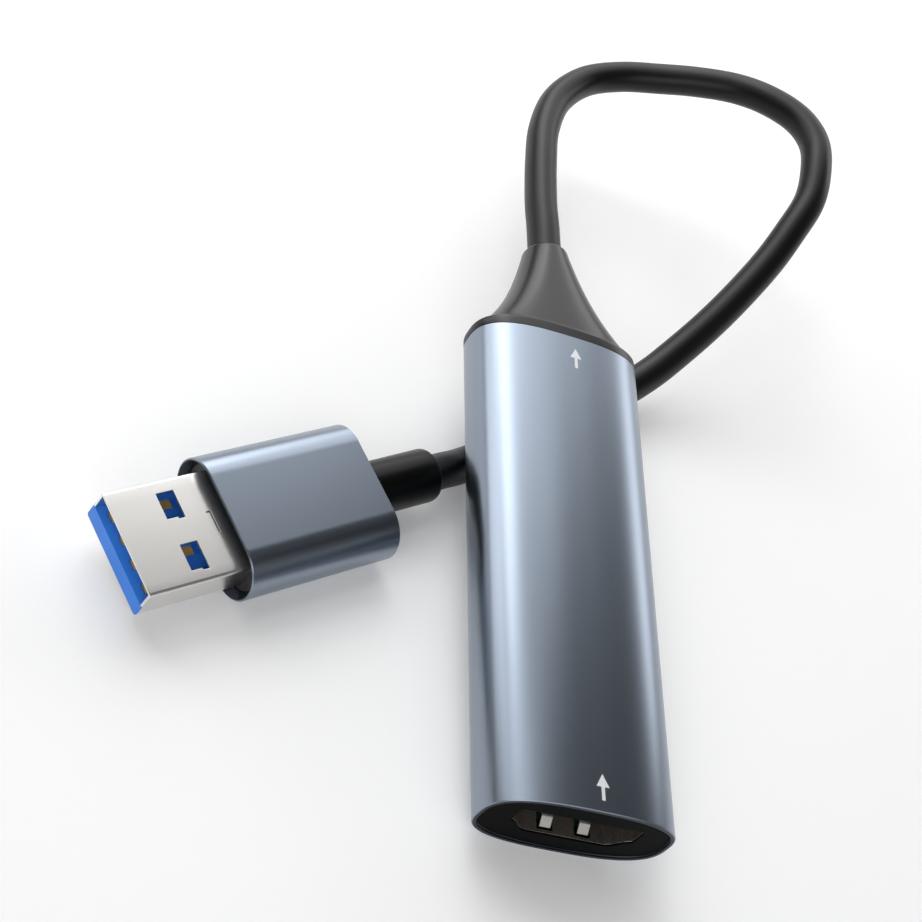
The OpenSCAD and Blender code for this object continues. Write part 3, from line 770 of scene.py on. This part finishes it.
def make_socket():
    """Socket: its outline carried along Y as a sheet, less the slots round its springs."""
    b = settings().box
    top, slot_half = b.socket_height / 2, FINGER_W / 2 + FINGER_ROOM
    slot_x = np.array([FINGER_X + slot_half, FINGER_X - slot_half])
    upper = np.stack([slot_x[::-1], np.full(2, top)], -1)
    lower = np.stack([slot_x, np.full(2, -top)], -1)
    outline = mirrored(np.vstack([upper, socket_outline(), lower]))
    slot_y = b.bezel_recess + np.array(FINGER_SLOT)
    depths = np.concatenate([
        [b.bezel_recess + b.lip + NEAR], slot_y, [b.bezel_recess + b.socket_depth]])
    grid = np.stack([ring(outline, y) for y in depths])
    x, y, z = np.moveaxis(cell_middles(grid), -1, 0)
    in_slot = (np.abs(np.abs(z) - top) < NEAR) & (np.abs(np.abs(x) - FINGER_X) < slot_half)
    in_slot &= (y > slot_y[0]) & (y < slot_y[1])
    piece = cells_piece(
        "socket_sheet", grid, ~in_slot, on_box, socket_finish(), ["socket_shell"])
    thicken(piece, b.sheet, 1, SHEET_EDGE)
    even_shading(piece)
    make_springs()


def make_springs():
    """Springs: a bent line of depth and height, carried across X to the spring's width."""
    b = settings().box
    bent = rounded(SPRING_CORNERS, SPRING_BENDS, 5)[SPRING_LINE]
    across = np.linspace(-0.5, 0.5, 5) * FINGER_W
    quads = grid_quads(len(bent), len(across)).reshape(-1, 4)
    sheets, faces = [], []
    for x in (-FINGER_X, FINGER_X):
        for up in (1, -1):
            sheet = np.zeros((len(bent), len(across), 3))
            sheet[..., 0] = x + across
            sheet[..., 1] = b.bezel_recess + bent[:, None, 0]
            sheet[..., 2] = up * (bent[:, None, 1] - b.socket_height / 2)
            faces += (quads[:, ::up] + len(sheets) * len(bent) * len(across)).tolist()
            sheets.append(on_box(sheet))
    piece = add_piece(
        "socket_springs", np.stack(sheets), faces, spring_finish(),
        ["socket_shell"])
    thicken(piece, FINGER_SHEET, 0, SPRING_EDGE)
    return piece


# Arrows: where their tails are, and the rows of one as distances from its tail and half widths
ARROWS = np.array([(0.6, 1.3), (0.6, 57.2)]) * MM
ARROW_ROWS = np.array([(0, 0.2), (1.5, 0.2), (1.5, 0.75), (2.9, 0.02)]) * MM
ARROW_POINTS = 7
INK_HEIGHT = 0.004 * MM
INK_FILM = 0.012 * MM


def make_arrows():
    """Arrows along the box at both ends of its top: strips of ink that follow the oval.

    A point's height is that of the squared oval above its x, with a film's thickness added.
    The first two rows bound the shaft, and the last two the head.
    """
    b = settings().box
    across = np.linspace(-1, 1, ARROW_POINTS)
    place = ARROWS[:, None, None]
    x = place[..., 0] + ARROW_ROWS[None, :, None, 1] * across
    y = place[..., 1] + ARROW_ROWS[None, :, None, 0] + 0 * across
    share = np.abs(x / (b.width / 2)) ** b.squareness
    z = b.height / 2 * (1 - share) ** (1 / b.squareness) + INK_HEIGHT
    strips = grid_quads(len(ARROW_ROWS), ARROW_POINTS)[::2].reshape(-1, 4)
    first = np.arange(len(ARROWS))[:, None, None] * len(ARROW_ROWS) * ARROW_POINTS
    quads = (first + strips).reshape(-1, 4)
    ink = surface_finish(
        "arrow_ink", settings().finish.ink, shade=0.92, rough=(0.45, 0.55), grain=6000,
        depth=3e-7, cloud=500)
    points = on_box(np.stack([x, y, z], -1))
    piece = add_piece("direction_arrows", points, quads.tolist(), ink)
    piece.data.polygons.foreach_set("use_smooth", np.zeros(len(quads), bool))
    film = piece.modifiers.new("film", "SOLIDIFY")
    film.thickness = INK_FILM
    film.offset = 0
    return piece


# Boot: how far its ledge lies inside the flange across and up, its eased edges, where the
# hollow below the flare begins, and the shares of the flare where it ends and the sides begin
LEDGE = (0.75 * MM, 0.05 * MM)
SPIGOT_EDGE = 0.3 * MM
FLANGE_EDGE = 0.3 * MM
FLANGE_FOOT = (0.03 * MM, 0.05 * MM)
HOLLOW_FROM = (0.3 * MM, 0.02 * MM)
HOLLOW_TO = 0.035
SIDES_FROM = 0.06


def make_boot():
    """Boot: ovals whose half width, half height and power change along Y.

    The flare's half width falls from the flange to the neck, partly in proportion to the
    share left and partly as a power of it, its half height in proportion to that share, and
    its section turns from squared to round.
    """
    b, bore = settings().box, settings().cord.diameter / 2
    neck, even, bend = b.neck / 2, b.flare_even, b.flare_bend
    half_w, half_h, power = b.width / 2, b.height / 2, b.squareness
    ledge_w, ledge_h = half_w - LEDGE[0], half_h - LEDGE[1]
    in_w, in_h = half_w - b.wall, half_h - b.wall
    flange_y, back_y = b.depth + b.flange, b.depth - b.spigot
    body = b.flare - b.neck_round

    def flare(u):
        k = 1 - u
        wide = even * k + (1 - even) * k ** bend
        return np.stack([
            neck + (ledge_w - neck) * wide, neck + (ledge_h - neck) * k,
            2 + (power - 2) * k, flange_y + u * body], -1)

    spigot = [
        (bore, bore, 2, back_y), (in_w - SPIGOT_EDGE, in_h - SPIGOT_EDGE, power, back_y),
        (in_w, in_h, power, back_y + SPIGOT_EDGE), (in_w, in_h, power, b.depth)]
    start = [
        (half_w - FLANGE_FOOT[0], half_h, power, b.depth),
        (half_w, half_h, power, b.depth + FLANGE_FOOT[1]),
        (half_w, half_h, power, flange_y - FLANGE_EDGE - FLANGE_FOOT[1])]
    t = np.radians([0, 30, 60, 90])
    share = FLANGE_EDGE * (1 - np.cos(t)) / (half_w - ledge_w)
    flange = np.stack([
        half_w + (ledge_w - half_w) * share, half_h + (ledge_h - half_h) * share,
        np.full(len(t), power), flange_y - FLANGE_EDGE + FLANGE_EDGE * np.sin(t)], -1)
    first = np.array([ledge_w + HOLLOW_FROM[0], ledge_h + HOLLOW_FROM[1], power, flange_y])
    turn_at, after = flare(np.array([0.0, HOLLOW_TO]))
    f = np.linspace(0, 1, 6)[:, None]
    hollow = (1 - f) ** 2 * first + 2 * f * (1 - f) * turn_at + f ** 2 * after
    sides = flare(np.linspace(SIDES_FROM, 1, 40))
    end_t = np.radians([15, 30, 45, 60, 75, 90])
    end_r = neck - b.neck_round * (1 - np.cos(end_t))
    end = np.stack([
        end_r, end_r, np.full(len(end_t), 2.0),
        flange_y + body + b.neck_round * np.sin(end_t)], -1)
    close = [(bore, bore, 2, flange_y + b.flare)]
    rows = np.vstack([spigot, start, flange, hollow, sides, end, close])
    rings = np.stack([ring(squared_oval(w, h, p), y) for w, h, p, y in rows])
    rubber = surface_finish(
        "boot_rubber", settings().finish.boot, shade=0.8, rough=(0.28, 0.32), grain=5200,
        depth=2e-7, cloud=120, specular=0.44)
    return even_shading(loft_piece(
        "boot_moulding", on_box(rings), rubber, ["cord_boot"]))


# Strain relief: its rounded end, where its cap begins and ends behind the stem, how far the
# stem steps in there, and how much of a half height the rounding of a side takes
RELIEF_EDGE = 0.8 * MM
CAP_AT = (0.3 * MM, 2.3 * MM)
CAP_STEP = 0.02 * MM
STEM_ROUND = 0.999
CAP_ROUND = 0.99


def make_relief():
    """Strain relief: a round stem with a rounded end, then the cap that closes the sleeve."""
    s = settings()
    r, bore, stem = s.cord.relief / 2, s.cord.diameter / 2, s.cord.relief_length
    cap_w, cap_h = s.plug.width / 2 - s.plug.wall, s.plug.height / 2 - s.plug.wall
    cap_from, cap_to = stem + CAP_AT[0], stem + CAP_AT[1]

    def circle(radius, depth):
        return ring(round_box(radius, radius, radius * STEM_ROUND), depth)

    t = np.radians(np.linspace(-90, 0, 9))
    radii = np.concatenate([r - RELIEF_EDGE + RELIEF_EDGE * np.cos(t), [r, r]])
    depths = np.concatenate([RELIEF_EDGE + RELIEF_EDGE * np.sin(t), [stem / 2, stem]])
    inner = min(r, cap_h) - CAP_STEP
    cap = round_box(cap_w, cap_h, cap_h * CAP_ROUND)
    rings = [circle(bore, 0.0)]
    rings += [circle(q, y) for q, y in zip(radii, depths)]
    rings += [circle(inner, stem), circle(inner, cap_from)]
    rings += [ring(cap, cap_from), ring(cap, cap_to), circle(bore, cap_to)]
    rubber = surface_finish(
        "relief_rubber", settings().finish.jacket, shade=0.8, rough=(0.3, 0.34), grain=5200,
        depth=3e-7, cloud=120, specular=0.2)
    return even_shading(loft_piece(
        "relief_moulding", on_plug(np.stack(rings)), rubber, ["plug_boot"]))


# Plug sleeve: its eased ends, the rim of its mouth, the slope behind that, and the roundings
# of the corners in the profile of its wall
GRIP_EASE = 0.1 * MM
GRIP_RIM = 0.24 * MM
GRIP_SLOPE = 0.9 * MM
GRIP_ROUNDS = np.array([0.03, 0.03, 0.03, 0.03, 0.1, 0.08, 0.03]) * MM


def make_plug_sleeve():
    """Plug sleeve: the wall's profile carried round an outline of flat faces and round sides.

    The wall thins inside the mouth, so that only a narrow rim shows there.
    """
    s = settings()
    p = s.plug
    back, front = s.cord.relief_length, s.cord.relief_length + p.depth
    profile = rounded(
        [(0, back + GRIP_EASE), (0, front - GRIP_EASE), (GRIP_EASE, front), (GRIP_RIM, front),
         (p.wall, front - GRIP_SLOPE), (p.wall, back), (GRIP_EASE, back)],
        GRIP_ROUNDS)
    rings = np.stack([
        ring(round_box(p.width / 2 - d, p.height / 2 - d, p.height / 2 - d - SIDE_SHORT), y)
        for d, y in profile])
    piece = loft_piece(
        "plug_sleeve_skin", on_plug(rings), anodised_finish(), ["plug_sleeve"])
    inset, depth = profile[:, 0], profile[:, 1]
    # Painted shade: the thinned wall inside the mouth is marked dark
    mouth_shade_mask = (inset > GRIP_RIM - 2 * NEAR) & (depth > back + 1 * MM)
    mark_painted_shade(piece, np.repeat(mouth_shade_mask, OVAL_POINTS))
    return even_shading(piece)


# Plug shell: its windows with their nicks, its seams, the insulator's lip below its front, its
# corners and its start inside the sleeve. Depths count back from the tip.
WINDOW_X = 3.02 * MM
WINDOW_W = 3.0 * MM
WINDOW_BACK = (7.7 * MM, 5.6 * MM)
NICK = (0.8 * MM, 0.22 * MM)
SEAM = 0.12 * MM
SEAM_X = (-1.2 * MM, 1.3 * MM)
SEAM_BACK = (10.7 * MM, 10.2 * MM)
LIP = 0.2 * MM
SHELF_Z = -0.25 * MM
BLADE_R = 0.35 * MM
BLADE_START = 8 * MM


def blade_outline():
    """Outline of the plug's shell, with points where its windows, seams and lip begin."""
    p = settings().plug
    a, t, r = p.blade_width / 2, p.blade_height / 2, BLADE_R
    windows = [side * WINDOW_X + end for side in (-1, 1)
               for end in (-WINDOW_W / 2 - NICK[1], -WINDOW_W / 2, WINDOW_W / 2)]
    seams = [SEAM_X[0], SEAM_X[1] - SEAM, SEAM_X[1], -SEAM / 2, SEAM / 2]
    breaks = np.unique(np.round(windows + seams, 7))
    level = np.full(len(breaks), t)
    turn = np.linspace(0, np.pi / 2, 6)
    right_up = r * directions(turn) + [a - r, t - r]
    side = np.array([[a, SHELF_Z]])
    return np.vstack([
        side, right_up, np.stack([breaks[::-1], level], -1), (right_up * [-1, 1])[::-1],
        side * [-1, 1], right_up * [-1, -1], np.stack([breaks, -level], -1),
        (right_up * [1, -1])[::-1]])


def make_blade():
    """Plug shell: its outline carried along Y as a sheet, less its windows, seams and lip."""
    s = settings()
    p, tip = s.plug, tip_depth()
    depths = np.array([
        s.cord.relief_length + BLADE_START, tip - SEAM_BACK[0], tip - SEAM_BACK[0] + SEAM,
        tip - SEAM_BACK[1], tip - WINDOW_BACK[0], tip - WINDOW_BACK[0] + NICK[0],
        tip - WINDOW_BACK[1], tip - LIP, tip])
    grid = np.stack([ring(blade_outline(), y) for y in depths])
    x, y, z = np.moveaxis(cell_middles(grid), -1, 0)
    far = tip - y
    flat = np.abs(np.abs(z) - p.blade_height / 2) < NEAR
    ahead = flat & (far < WINDOW_BACK[0])
    gone = ahead & (far > WINDOW_BACK[1]) & (np.abs(np.abs(x) - WINDOW_X) < WINDOW_W / 2)
    for side in (-WINDOW_X, WINDOW_X):
        edge = side - WINDOW_W / 2
        gone |= ahead & (far > WINDOW_BACK[0] - NICK[0]) & (x < edge) & (x > edge - NICK[1])
    seam = flat & (z > 0) & (x > SEAM_X[0]) & (x < SEAM_X[1]) & (far < SEAM_BACK[0])
    gone |= seam & (far > SEAM_BACK[0] - SEAM)
    gone |= seam & (far > SEAM_BACK[1]) & (x > SEAM_X[1] - SEAM)
    gone |= flat & (z < 0) & (np.abs(x) < SEAM / 2)
    gone |= (z < SHELF_Z) & (far < LIP)
    piece = cells_piece(
        "plug_sheet", grid, ~gone, on_plug, nickel_finish(), ["plug_shell"])
    bm = bmesh.new()
    bm.from_mesh(piece.data)
    bmesh.ops.recalc_face_normals(bm, faces=bm.faces)
    bm.to_mesh(piece.data)
    bm.free()
    thicken(piece, p.sheet, -1, SHEET_EDGE)
    return even_shading(piece)


def soft_copy(node, name, finish, width):
    """Copy of a solid with its loose triangles joined into flat faces and its edges rounded."""
    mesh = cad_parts[node].data.copy()
    mesh.name = name
    bm = bmesh.new()
    bm.from_mesh(mesh)
    bmesh.ops.remove_doubles(bm, verts=bm.verts, dist=WELD)
    bmesh.ops.dissolve_limit(bm, angle_limit=FLAT_ANGLE, verts=bm.verts, edges=bm.edges)
    bm.to_mesh(mesh)
    bm.free()
    piece = show_mesh(name, mesh, finish, [node])
    soften(piece, width)
    return piece


def make_insulator():
    """Blue insulator of the plug, its black core and its gold contacts, edges softened."""
    blue = surface_finish(
        "insulator_blue", settings().finish.blue, shade=0.9, rough=(0.36, 0.46), grain=4500,
        depth=1.2e-6, cloud=300, specular=0.4)
    core = surface_finish(
        "core_plastic", (0.016, 0.016, 0.018), shade=0.8, rough=(0.4, 0.5), grain=5000,
        depth=1.5e-6, cloud=200)
    soft_copy("plug_tongue", "plug_insulator", blue, 0.06 * MM)
    soft_copy("plug_core", "plug_filling", core, 0.08 * MM)
    soft_copy("plug_front_contacts", "plug_pads", gold_finish(), 0.03 * MM)
    soft_copy("plug_rear_contacts", "plug_springs", gold_finish(), 0.03 * MM)


def make_camera():
    """Camera from its place and its three directions."""
    data = bpy.data.cameras.new("camera")
    data.lens = CAMERA_LENS
    data.sensor_width = CAMERA_SENSOR
    data.sensor_fit = "HORIZONTAL"
    data.clip_start, data.clip_end = CAMERA_CLIP
    camera = bpy.data.objects.new("camera", data)
    axes = Matrix((CAMERA_RIGHT, CAMERA_UP, CAMERA_BACK)).transposed().to_4x4()
    camera.matrix_world = Matrix.Translation(CAMERA_AT) @ axes
    bpy.context.scene.collection.objects.link(camera)
    bpy.context.scene.camera = camera


# Soft panels round the object, by rows: elevation, width, height, azimuths with radiances
PANELS = (
    (7, 0.174, 0.111, ((-10, 1.0), (12, 0.6), (34, 0.7), (56, 0.2), (78, 0.6), (144, 0.7))),
    (21, 0.163, 0.111, (
        (-10, 0.4), (34, 3.3), (56, 3.0), (78, 2.1), (100, 3.2), (122, 0.8), (144, 2.8))),
    (36, 0.142, 0.126, ((56, 0.8), (78, 1.6), (100, 5.2), (122, 3.3), (144, 2.8))),
    (52, 0.128, 0.126, ((68, 1.9), (94, 2.4), (120, 5.0), (146, 1.3), (198, 1.8))),
    (70, 0.128, 0.159, ((-10, 0.3), (80, 0.5), (125, 1.1), (170, 1.2))),
    (32, 0.3, 0.3, ((250, 2.0), (285, 0.9), (320, 0.2))),
)
PANEL_DISTANCE = 0.45

# Floor: its corners, its paper's darker and lighter colour, and how bright it looks of itself
# near the object and far off, with the distances between which that changes
FLOOR_SIDE = np.linspace(-8, 8, 9)
PAPER = ((0.90, 0.90, 0.90), (0.92, 0.92, 0.92))
FLOOR_GLOW = 0.13
FAR_GLOW = 0.86
FLOOR_FADE = (0.28, 0.5)

# Dim surround
SKY_COLOUR = (0.93, 0.96, 1.0, 1)
SKY_STRENGTH = 0.02


def soft_panel(azimuth, elevation, width, height, radiance):
    """Area lamp that looks at the object from a direction, as bright as its radiance says."""
    name = f"panel_{azimuth}_{elevation}"
    data = bpy.data.lights.new(name, "AREA")
    data.shape = "RECTANGLE"
    data.size, data.size_y = width, height
    data.energy = radiance * math.pi * width * height
    lamp = bpy.data.objects.new(name, data)
    flat = math.cos(math.radians(elevation))
    way = Vector((
        flat * math.cos(math.radians(azimuth)), flat * math.sin(math.radians(azimuth)),
        math.sin(math.radians(elevation))))
    lamp.location = way * PANEL_DISTANCE
    lamp.rotation_euler = way.to_track_quat("Z", "Y").to_euler()
    lamp.visible_camera = False
    bpy.context.scene.collection.objects.link(lamp)


def make_floor():
    """Pale floor: a flat square of paper that looks lighter by itself than it lights."""
    x, y = np.meshgrid(FLOOR_SIDE, FLOOR_SIDE)
    points = np.stack([x, y, np.zeros_like(x)], -1).reshape(-1, 3)
    quads = grid_quads(len(FLOOR_SIDE), len(FLOOR_SIDE)).reshape(-1, 4)
    mesh = bpy.data.meshes.new("floor")
    mesh.from_pydata(points.tolist(), [], quads.tolist())
    recipe = Recipe("floor_paper")
    fibres = recipe.noise(recipe.place((0, 0, 0), (1, 1, 1)), 900, 3.0, 0.6)
    paper = recipe.blend(recipe.between(fibres, 0, 1), *PAPER)
    recipe.link(paper, recipe.shader.inputs["Base Color"])
    recipe.shader.inputs["Roughness"].default_value = 0.9
    recipe.shader.inputs["Specular IOR Level"].default_value = 0.1
    rays = recipe.node("ShaderNodeLightPath").outputs
    seen = recipe.most(rays["Is Camera Ray"], rays["Is Glossy Ray"])
    seen = recipe.most(seen, rays["Is Transmission Ray"])
    glow = recipe.between(recipe.reach(), FLOOR_GLOW, FAR_GLOW, FLOOR_FADE)
    recipe.link(recipe.times(seen, glow), recipe.shader.inputs["Emission Strength"])
    recipe.shader.inputs["Emission Color"].default_value = (1, 1, 1, 1)
    mesh.materials.append(recipe.material)
    floor = bpy.data.objects.new("floor", mesh)
    bpy.context.scene.collection.objects.link(floor)


def make_stage():
    """Pale floor, soft panels and a dim even surround."""
    make_floor()
    for elevation, width, height, panels in PANELS:
        for azimuth, radiance in panels:
            soft_panel(azimuth, elevation, width, height, radiance)
    world = bpy.data.worlds.new("surround")
    world.use_nodes = True
    sky = world.node_tree.nodes["Background"]
    sky.inputs["Color"].default_value = SKY_COLOUR
    sky.inputs["Strength"].default_value = SKY_STRENGTH
    scene = bpy.context.scene
    scene.world = world
    scene.view_settings.view_transform = "Standard"


# Finishes of the solids that stay as they are: slot, colour, metal, roughness and nodes
INNER_FINISHES = (
    ("dark_insulator", (0.012, 0.012, 0.013), 0.0, (0.4, 0.5), ("socket_tongue",)),
    ("carrier_plastic", (0.03, 0.03, 0.032), 0.0, (0.45, 0.55), (
        "carrier_lower", "carrier_upper")),
    ("board", (0.006, 0.04, 0.02), 0.0, (0.28, 0.38), ("main_board",)),
    ("chip_black", (0.018, 0.018, 0.02), 0.0, (0.42, 0.5), (
        "capture_chip", "memory_chip", "regulator")),
    ("can_metal", (0.62, 0.62, 0.60), 1.0, (0.22, 0.32), ("crystal", "crimp_ring")),
    ("ferrite", (0.05, 0.05, 0.055), 0.0, (0.5, 0.6), ("power_coil",)),
    ("ceramic", (0.36, 0.25, 0.15), 0.0, (0.35, 0.45), ("chip_capacitors",)),
    ("wire_red", (0.45, 0.02, 0.015), 0.0, (0.35, 0.45), ("lead_wires",)),
    ("wire_green", (0.02, 0.17, 0.035), 0.0, (0.35, 0.45), ("plug_wires",)),
    ("cord_jacket", (0.014, 0.014, 0.0145), 0.0, (0.36, 0.44), ("cord_tail", "plug_tail")),
)


def dress(node, finish):
    """Gives a solid a finish in place of its plain colour."""
    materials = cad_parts[node].data.materials
    materials.clear()
    materials.append(finish)


def dress_inner_parts():
    """Finishes for the solids that stay as they are, most of them closed in."""
    for slot, colour, metal, rough, nodes in INNER_FINISHES:
        finish = surface_finish(
            "inner_" + slot, colour, shade=0.8, metal=metal, rough=rough, grain=4000,
            depth=1e-6, cloud=250)
        for node in nodes:
            dress(node, finish)
    dress("socket_contacts", gold_finish())


def declare_cord():
    """Works out the cord's centreline, and does nothing more with it."""
    line, _ = cord_line()


class CAPTUREBOX_OT_camera(bpy.types.Operator):
    """Sets the camera at the viewing angle."""

    bl_idname = "capture_box.camera"
    bl_label = "Camera"
    bl_options = {"REGISTER", "UNDO"}

    def execute(self, context):
        make_camera()
        return {"FINISHED"}


class CAPTUREBOX_OT_cord(bpy.types.Operator):
    """Makes the cord's jacket along its route."""

    bl_idname = "capture_box.cord"
    bl_label = "Cord"
    bl_options = {"REGISTER", "UNDO"}

    def execute(self, context):
        make_cord()
        return {"FINISHED"}


class CAPTUREBOX_OT_sleeve(bpy.types.Operator):
    """Makes the aluminium sleeve."""

    bl_idname = "capture_box.sleeve"
    bl_label = "Sleeve"
    bl_options = {"REGISTER", "UNDO"}

    def execute(self, context):
        make_sleeve()
        return {"FINISHED"}


class CAPTUREBOX_OT_bezel(bpy.types.Operator):
    """Makes the end plate round the socket."""

    bl_idname = "capture_box.bezel"
    bl_label = "Bezel"
    bl_options = {"REGISTER", "UNDO"}

    def execute(self, context):
        make_bezel()
        return {"FINISHED"}


class CAPTUREBOX_OT_socket(bpy.types.Operator):
    """Makes the socket's sheet and its springs."""

    bl_idname = "capture_box.socket"
    bl_label = "Socket"
    bl_options = {"REGISTER", "UNDO"}

    def execute(self, context):
        make_socket()
        return {"FINISHED"}


class CAPTUREBOX_OT_arrows(bpy.types.Operator):
    """Prints a plain arrow at each end of the sleeve."""

    bl_idname = "capture_box.arrows"
    bl_label = "Arrows"
    bl_options = {"REGISTER", "UNDO"}

    def execute(self, context):
        make_arrows()
        return {"FINISHED"}


class CAPTUREBOX_OT_boot(bpy.types.Operator):
    """Makes the flared boot."""

    bl_idname = "capture_box.boot"
    bl_label = "Boot"
    bl_options = {"REGISTER", "UNDO"}

    def execute(self, context):
        make_boot()
        return {"FINISHED"}


class CAPTUREBOX_OT_relief(bpy.types.Operator):
    """Makes the plug's strain relief."""

    bl_idname = "capture_box.relief"
    bl_label = "Strain relief"
    bl_options = {"REGISTER", "UNDO"}

    def execute(self, context):
        make_relief()
        return {"FINISHED"}


class CAPTUREBOX_OT_plug_sleeve(bpy.types.Operator):
    """Makes the plug's aluminium sleeve."""

    bl_idname = "capture_box.plug_sleeve"
    bl_label = "Plug sleeve"
    bl_options = {"REGISTER", "UNDO"}

    def execute(self, context):
        make_plug_sleeve()
        return {"FINISHED"}


class CAPTUREBOX_OT_blade(bpy.types.Operator):
    """Makes the plug's sheet-metal shell."""

    bl_idname = "capture_box.blade"
    bl_label = "Plug shell"
    bl_options = {"REGISTER", "UNDO"}

    def execute(self, context):
        make_blade()
        return {"FINISHED"}


class CAPTUREBOX_OT_insulator(bpy.types.Operator):
    """Makes the plug's insulator, core and contacts."""

    bl_idname = "capture_box.insulator"
    bl_label = "Plug insulator"
    bl_options = {"REGISTER", "UNDO"}

    def execute(self, context):
        make_insulator()
        return {"FINISHED"}


class CAPTUREBOX_OT_inner(bpy.types.Operator):
    """Dresses the solids that stay inside."""

    bl_idname = "capture_box.inner"
    bl_label = "Inner parts"
    bl_options = {"REGISTER", "UNDO"}

    def execute(self, context):
        dress_inner_parts()
        return {"FINISHED"}


class CAPTUREBOX_OT_cord_facts(bpy.types.Operator):
    bl_idname = "capture_box.cord_facts"
    bl_label = "Cord facts"
    bl_options = {"REGISTER", "UNDO"}

    def execute(self, context):
        declare_cord()
        return {"FINISHED"}


class CAPTUREBOX_OT_stage(bpy.types.Operator):
    """Makes the floor, the lamps and the surround."""

    bl_idname = "capture_box.stage"
    bl_label = "Stage"
    bl_options = {"REGISTER", "UNDO"}

    def execute(self, context):
        make_stage()
        return {"FINISHED"}


STEPS = (
    CAPTUREBOX_OT_camera, CAPTUREBOX_OT_cord, CAPTUREBOX_OT_sleeve, CAPTUREBOX_OT_bezel,
    CAPTUREBOX_OT_socket, CAPTUREBOX_OT_arrows, CAPTUREBOX_OT_boot, CAPTUREBOX_OT_relief,
    CAPTUREBOX_OT_plug_sleeve, CAPTUREBOX_OT_blade, CAPTUREBOX_OT_insulator, CAPTUREBOX_OT_inner,
    CAPTUREBOX_OT_cord_facts, CAPTUREBOX_OT_stage,
)


class CAPTUREBOX_PT_panel(bpy.types.Panel):
    """Sizes, colours and steps of the capture box."""

    bl_label = "Capture box"
    bl_idname = "CAPTUREBOX_PT_panel"
    bl_space_type = "VIEW_3D"
    bl_region_type = "UI"
    bl_category = "Capture box"

    def draw(self, context):
        for group in ("box", "cord", "plug", "finish"):
            values = getattr(context.scene.capture_box, group)
            area = self.layout.box()
            for key in values.__annotations__:
                area.prop(values, key)
        for step in STEPS:
            self.layout.operator(step.bl_idname)


GROUPS = (BoxSizes, CordSizes, PlugSizes, Finishes, CaptureBoxSettings)


def register():
    """Registers every class and keeps the settings on the scene."""
    for made in (*GROUPS, *STEPS, CAPTUREBOX_PT_panel):
        bpy.utils.register_class(made)
    bpy.types.Scene.capture_box = PointerProperty(
        type=CaptureBoxSettings, name="Capture box", description="Sizes and colours")


def unregister():
    """Takes the settings and the classes away again."""
    del bpy.types.Scene.capture_box
    for made in reversed((*GROUPS, *STEPS, CAPTUREBOX_PT_panel)):
        bpy.utils.unregister_class(made)


def main():
    """Makes every piece in order."""
    register()
    bpy.ops.capture_box.camera()
    bpy.ops.capture_box.cord()
    bpy.ops.capture_box.sleeve()
    bpy.ops.capture_box.bezel()
    bpy.ops.capture_box.socket()
    bpy.ops.capture_box.arrows()
    bpy.ops.capture_box.boot()
    bpy.ops.capture_box.relief()
    bpy.ops.capture_box.plug_sleeve()
    bpy.ops.capture_box.blade()
    bpy.ops.capture_box.insulator()
    bpy.ops.capture_box.inner()
    bpy.ops.capture_box.cord_facts()
    bpy.ops.capture_box.stage()


if __name__ == "__main__":
    main()
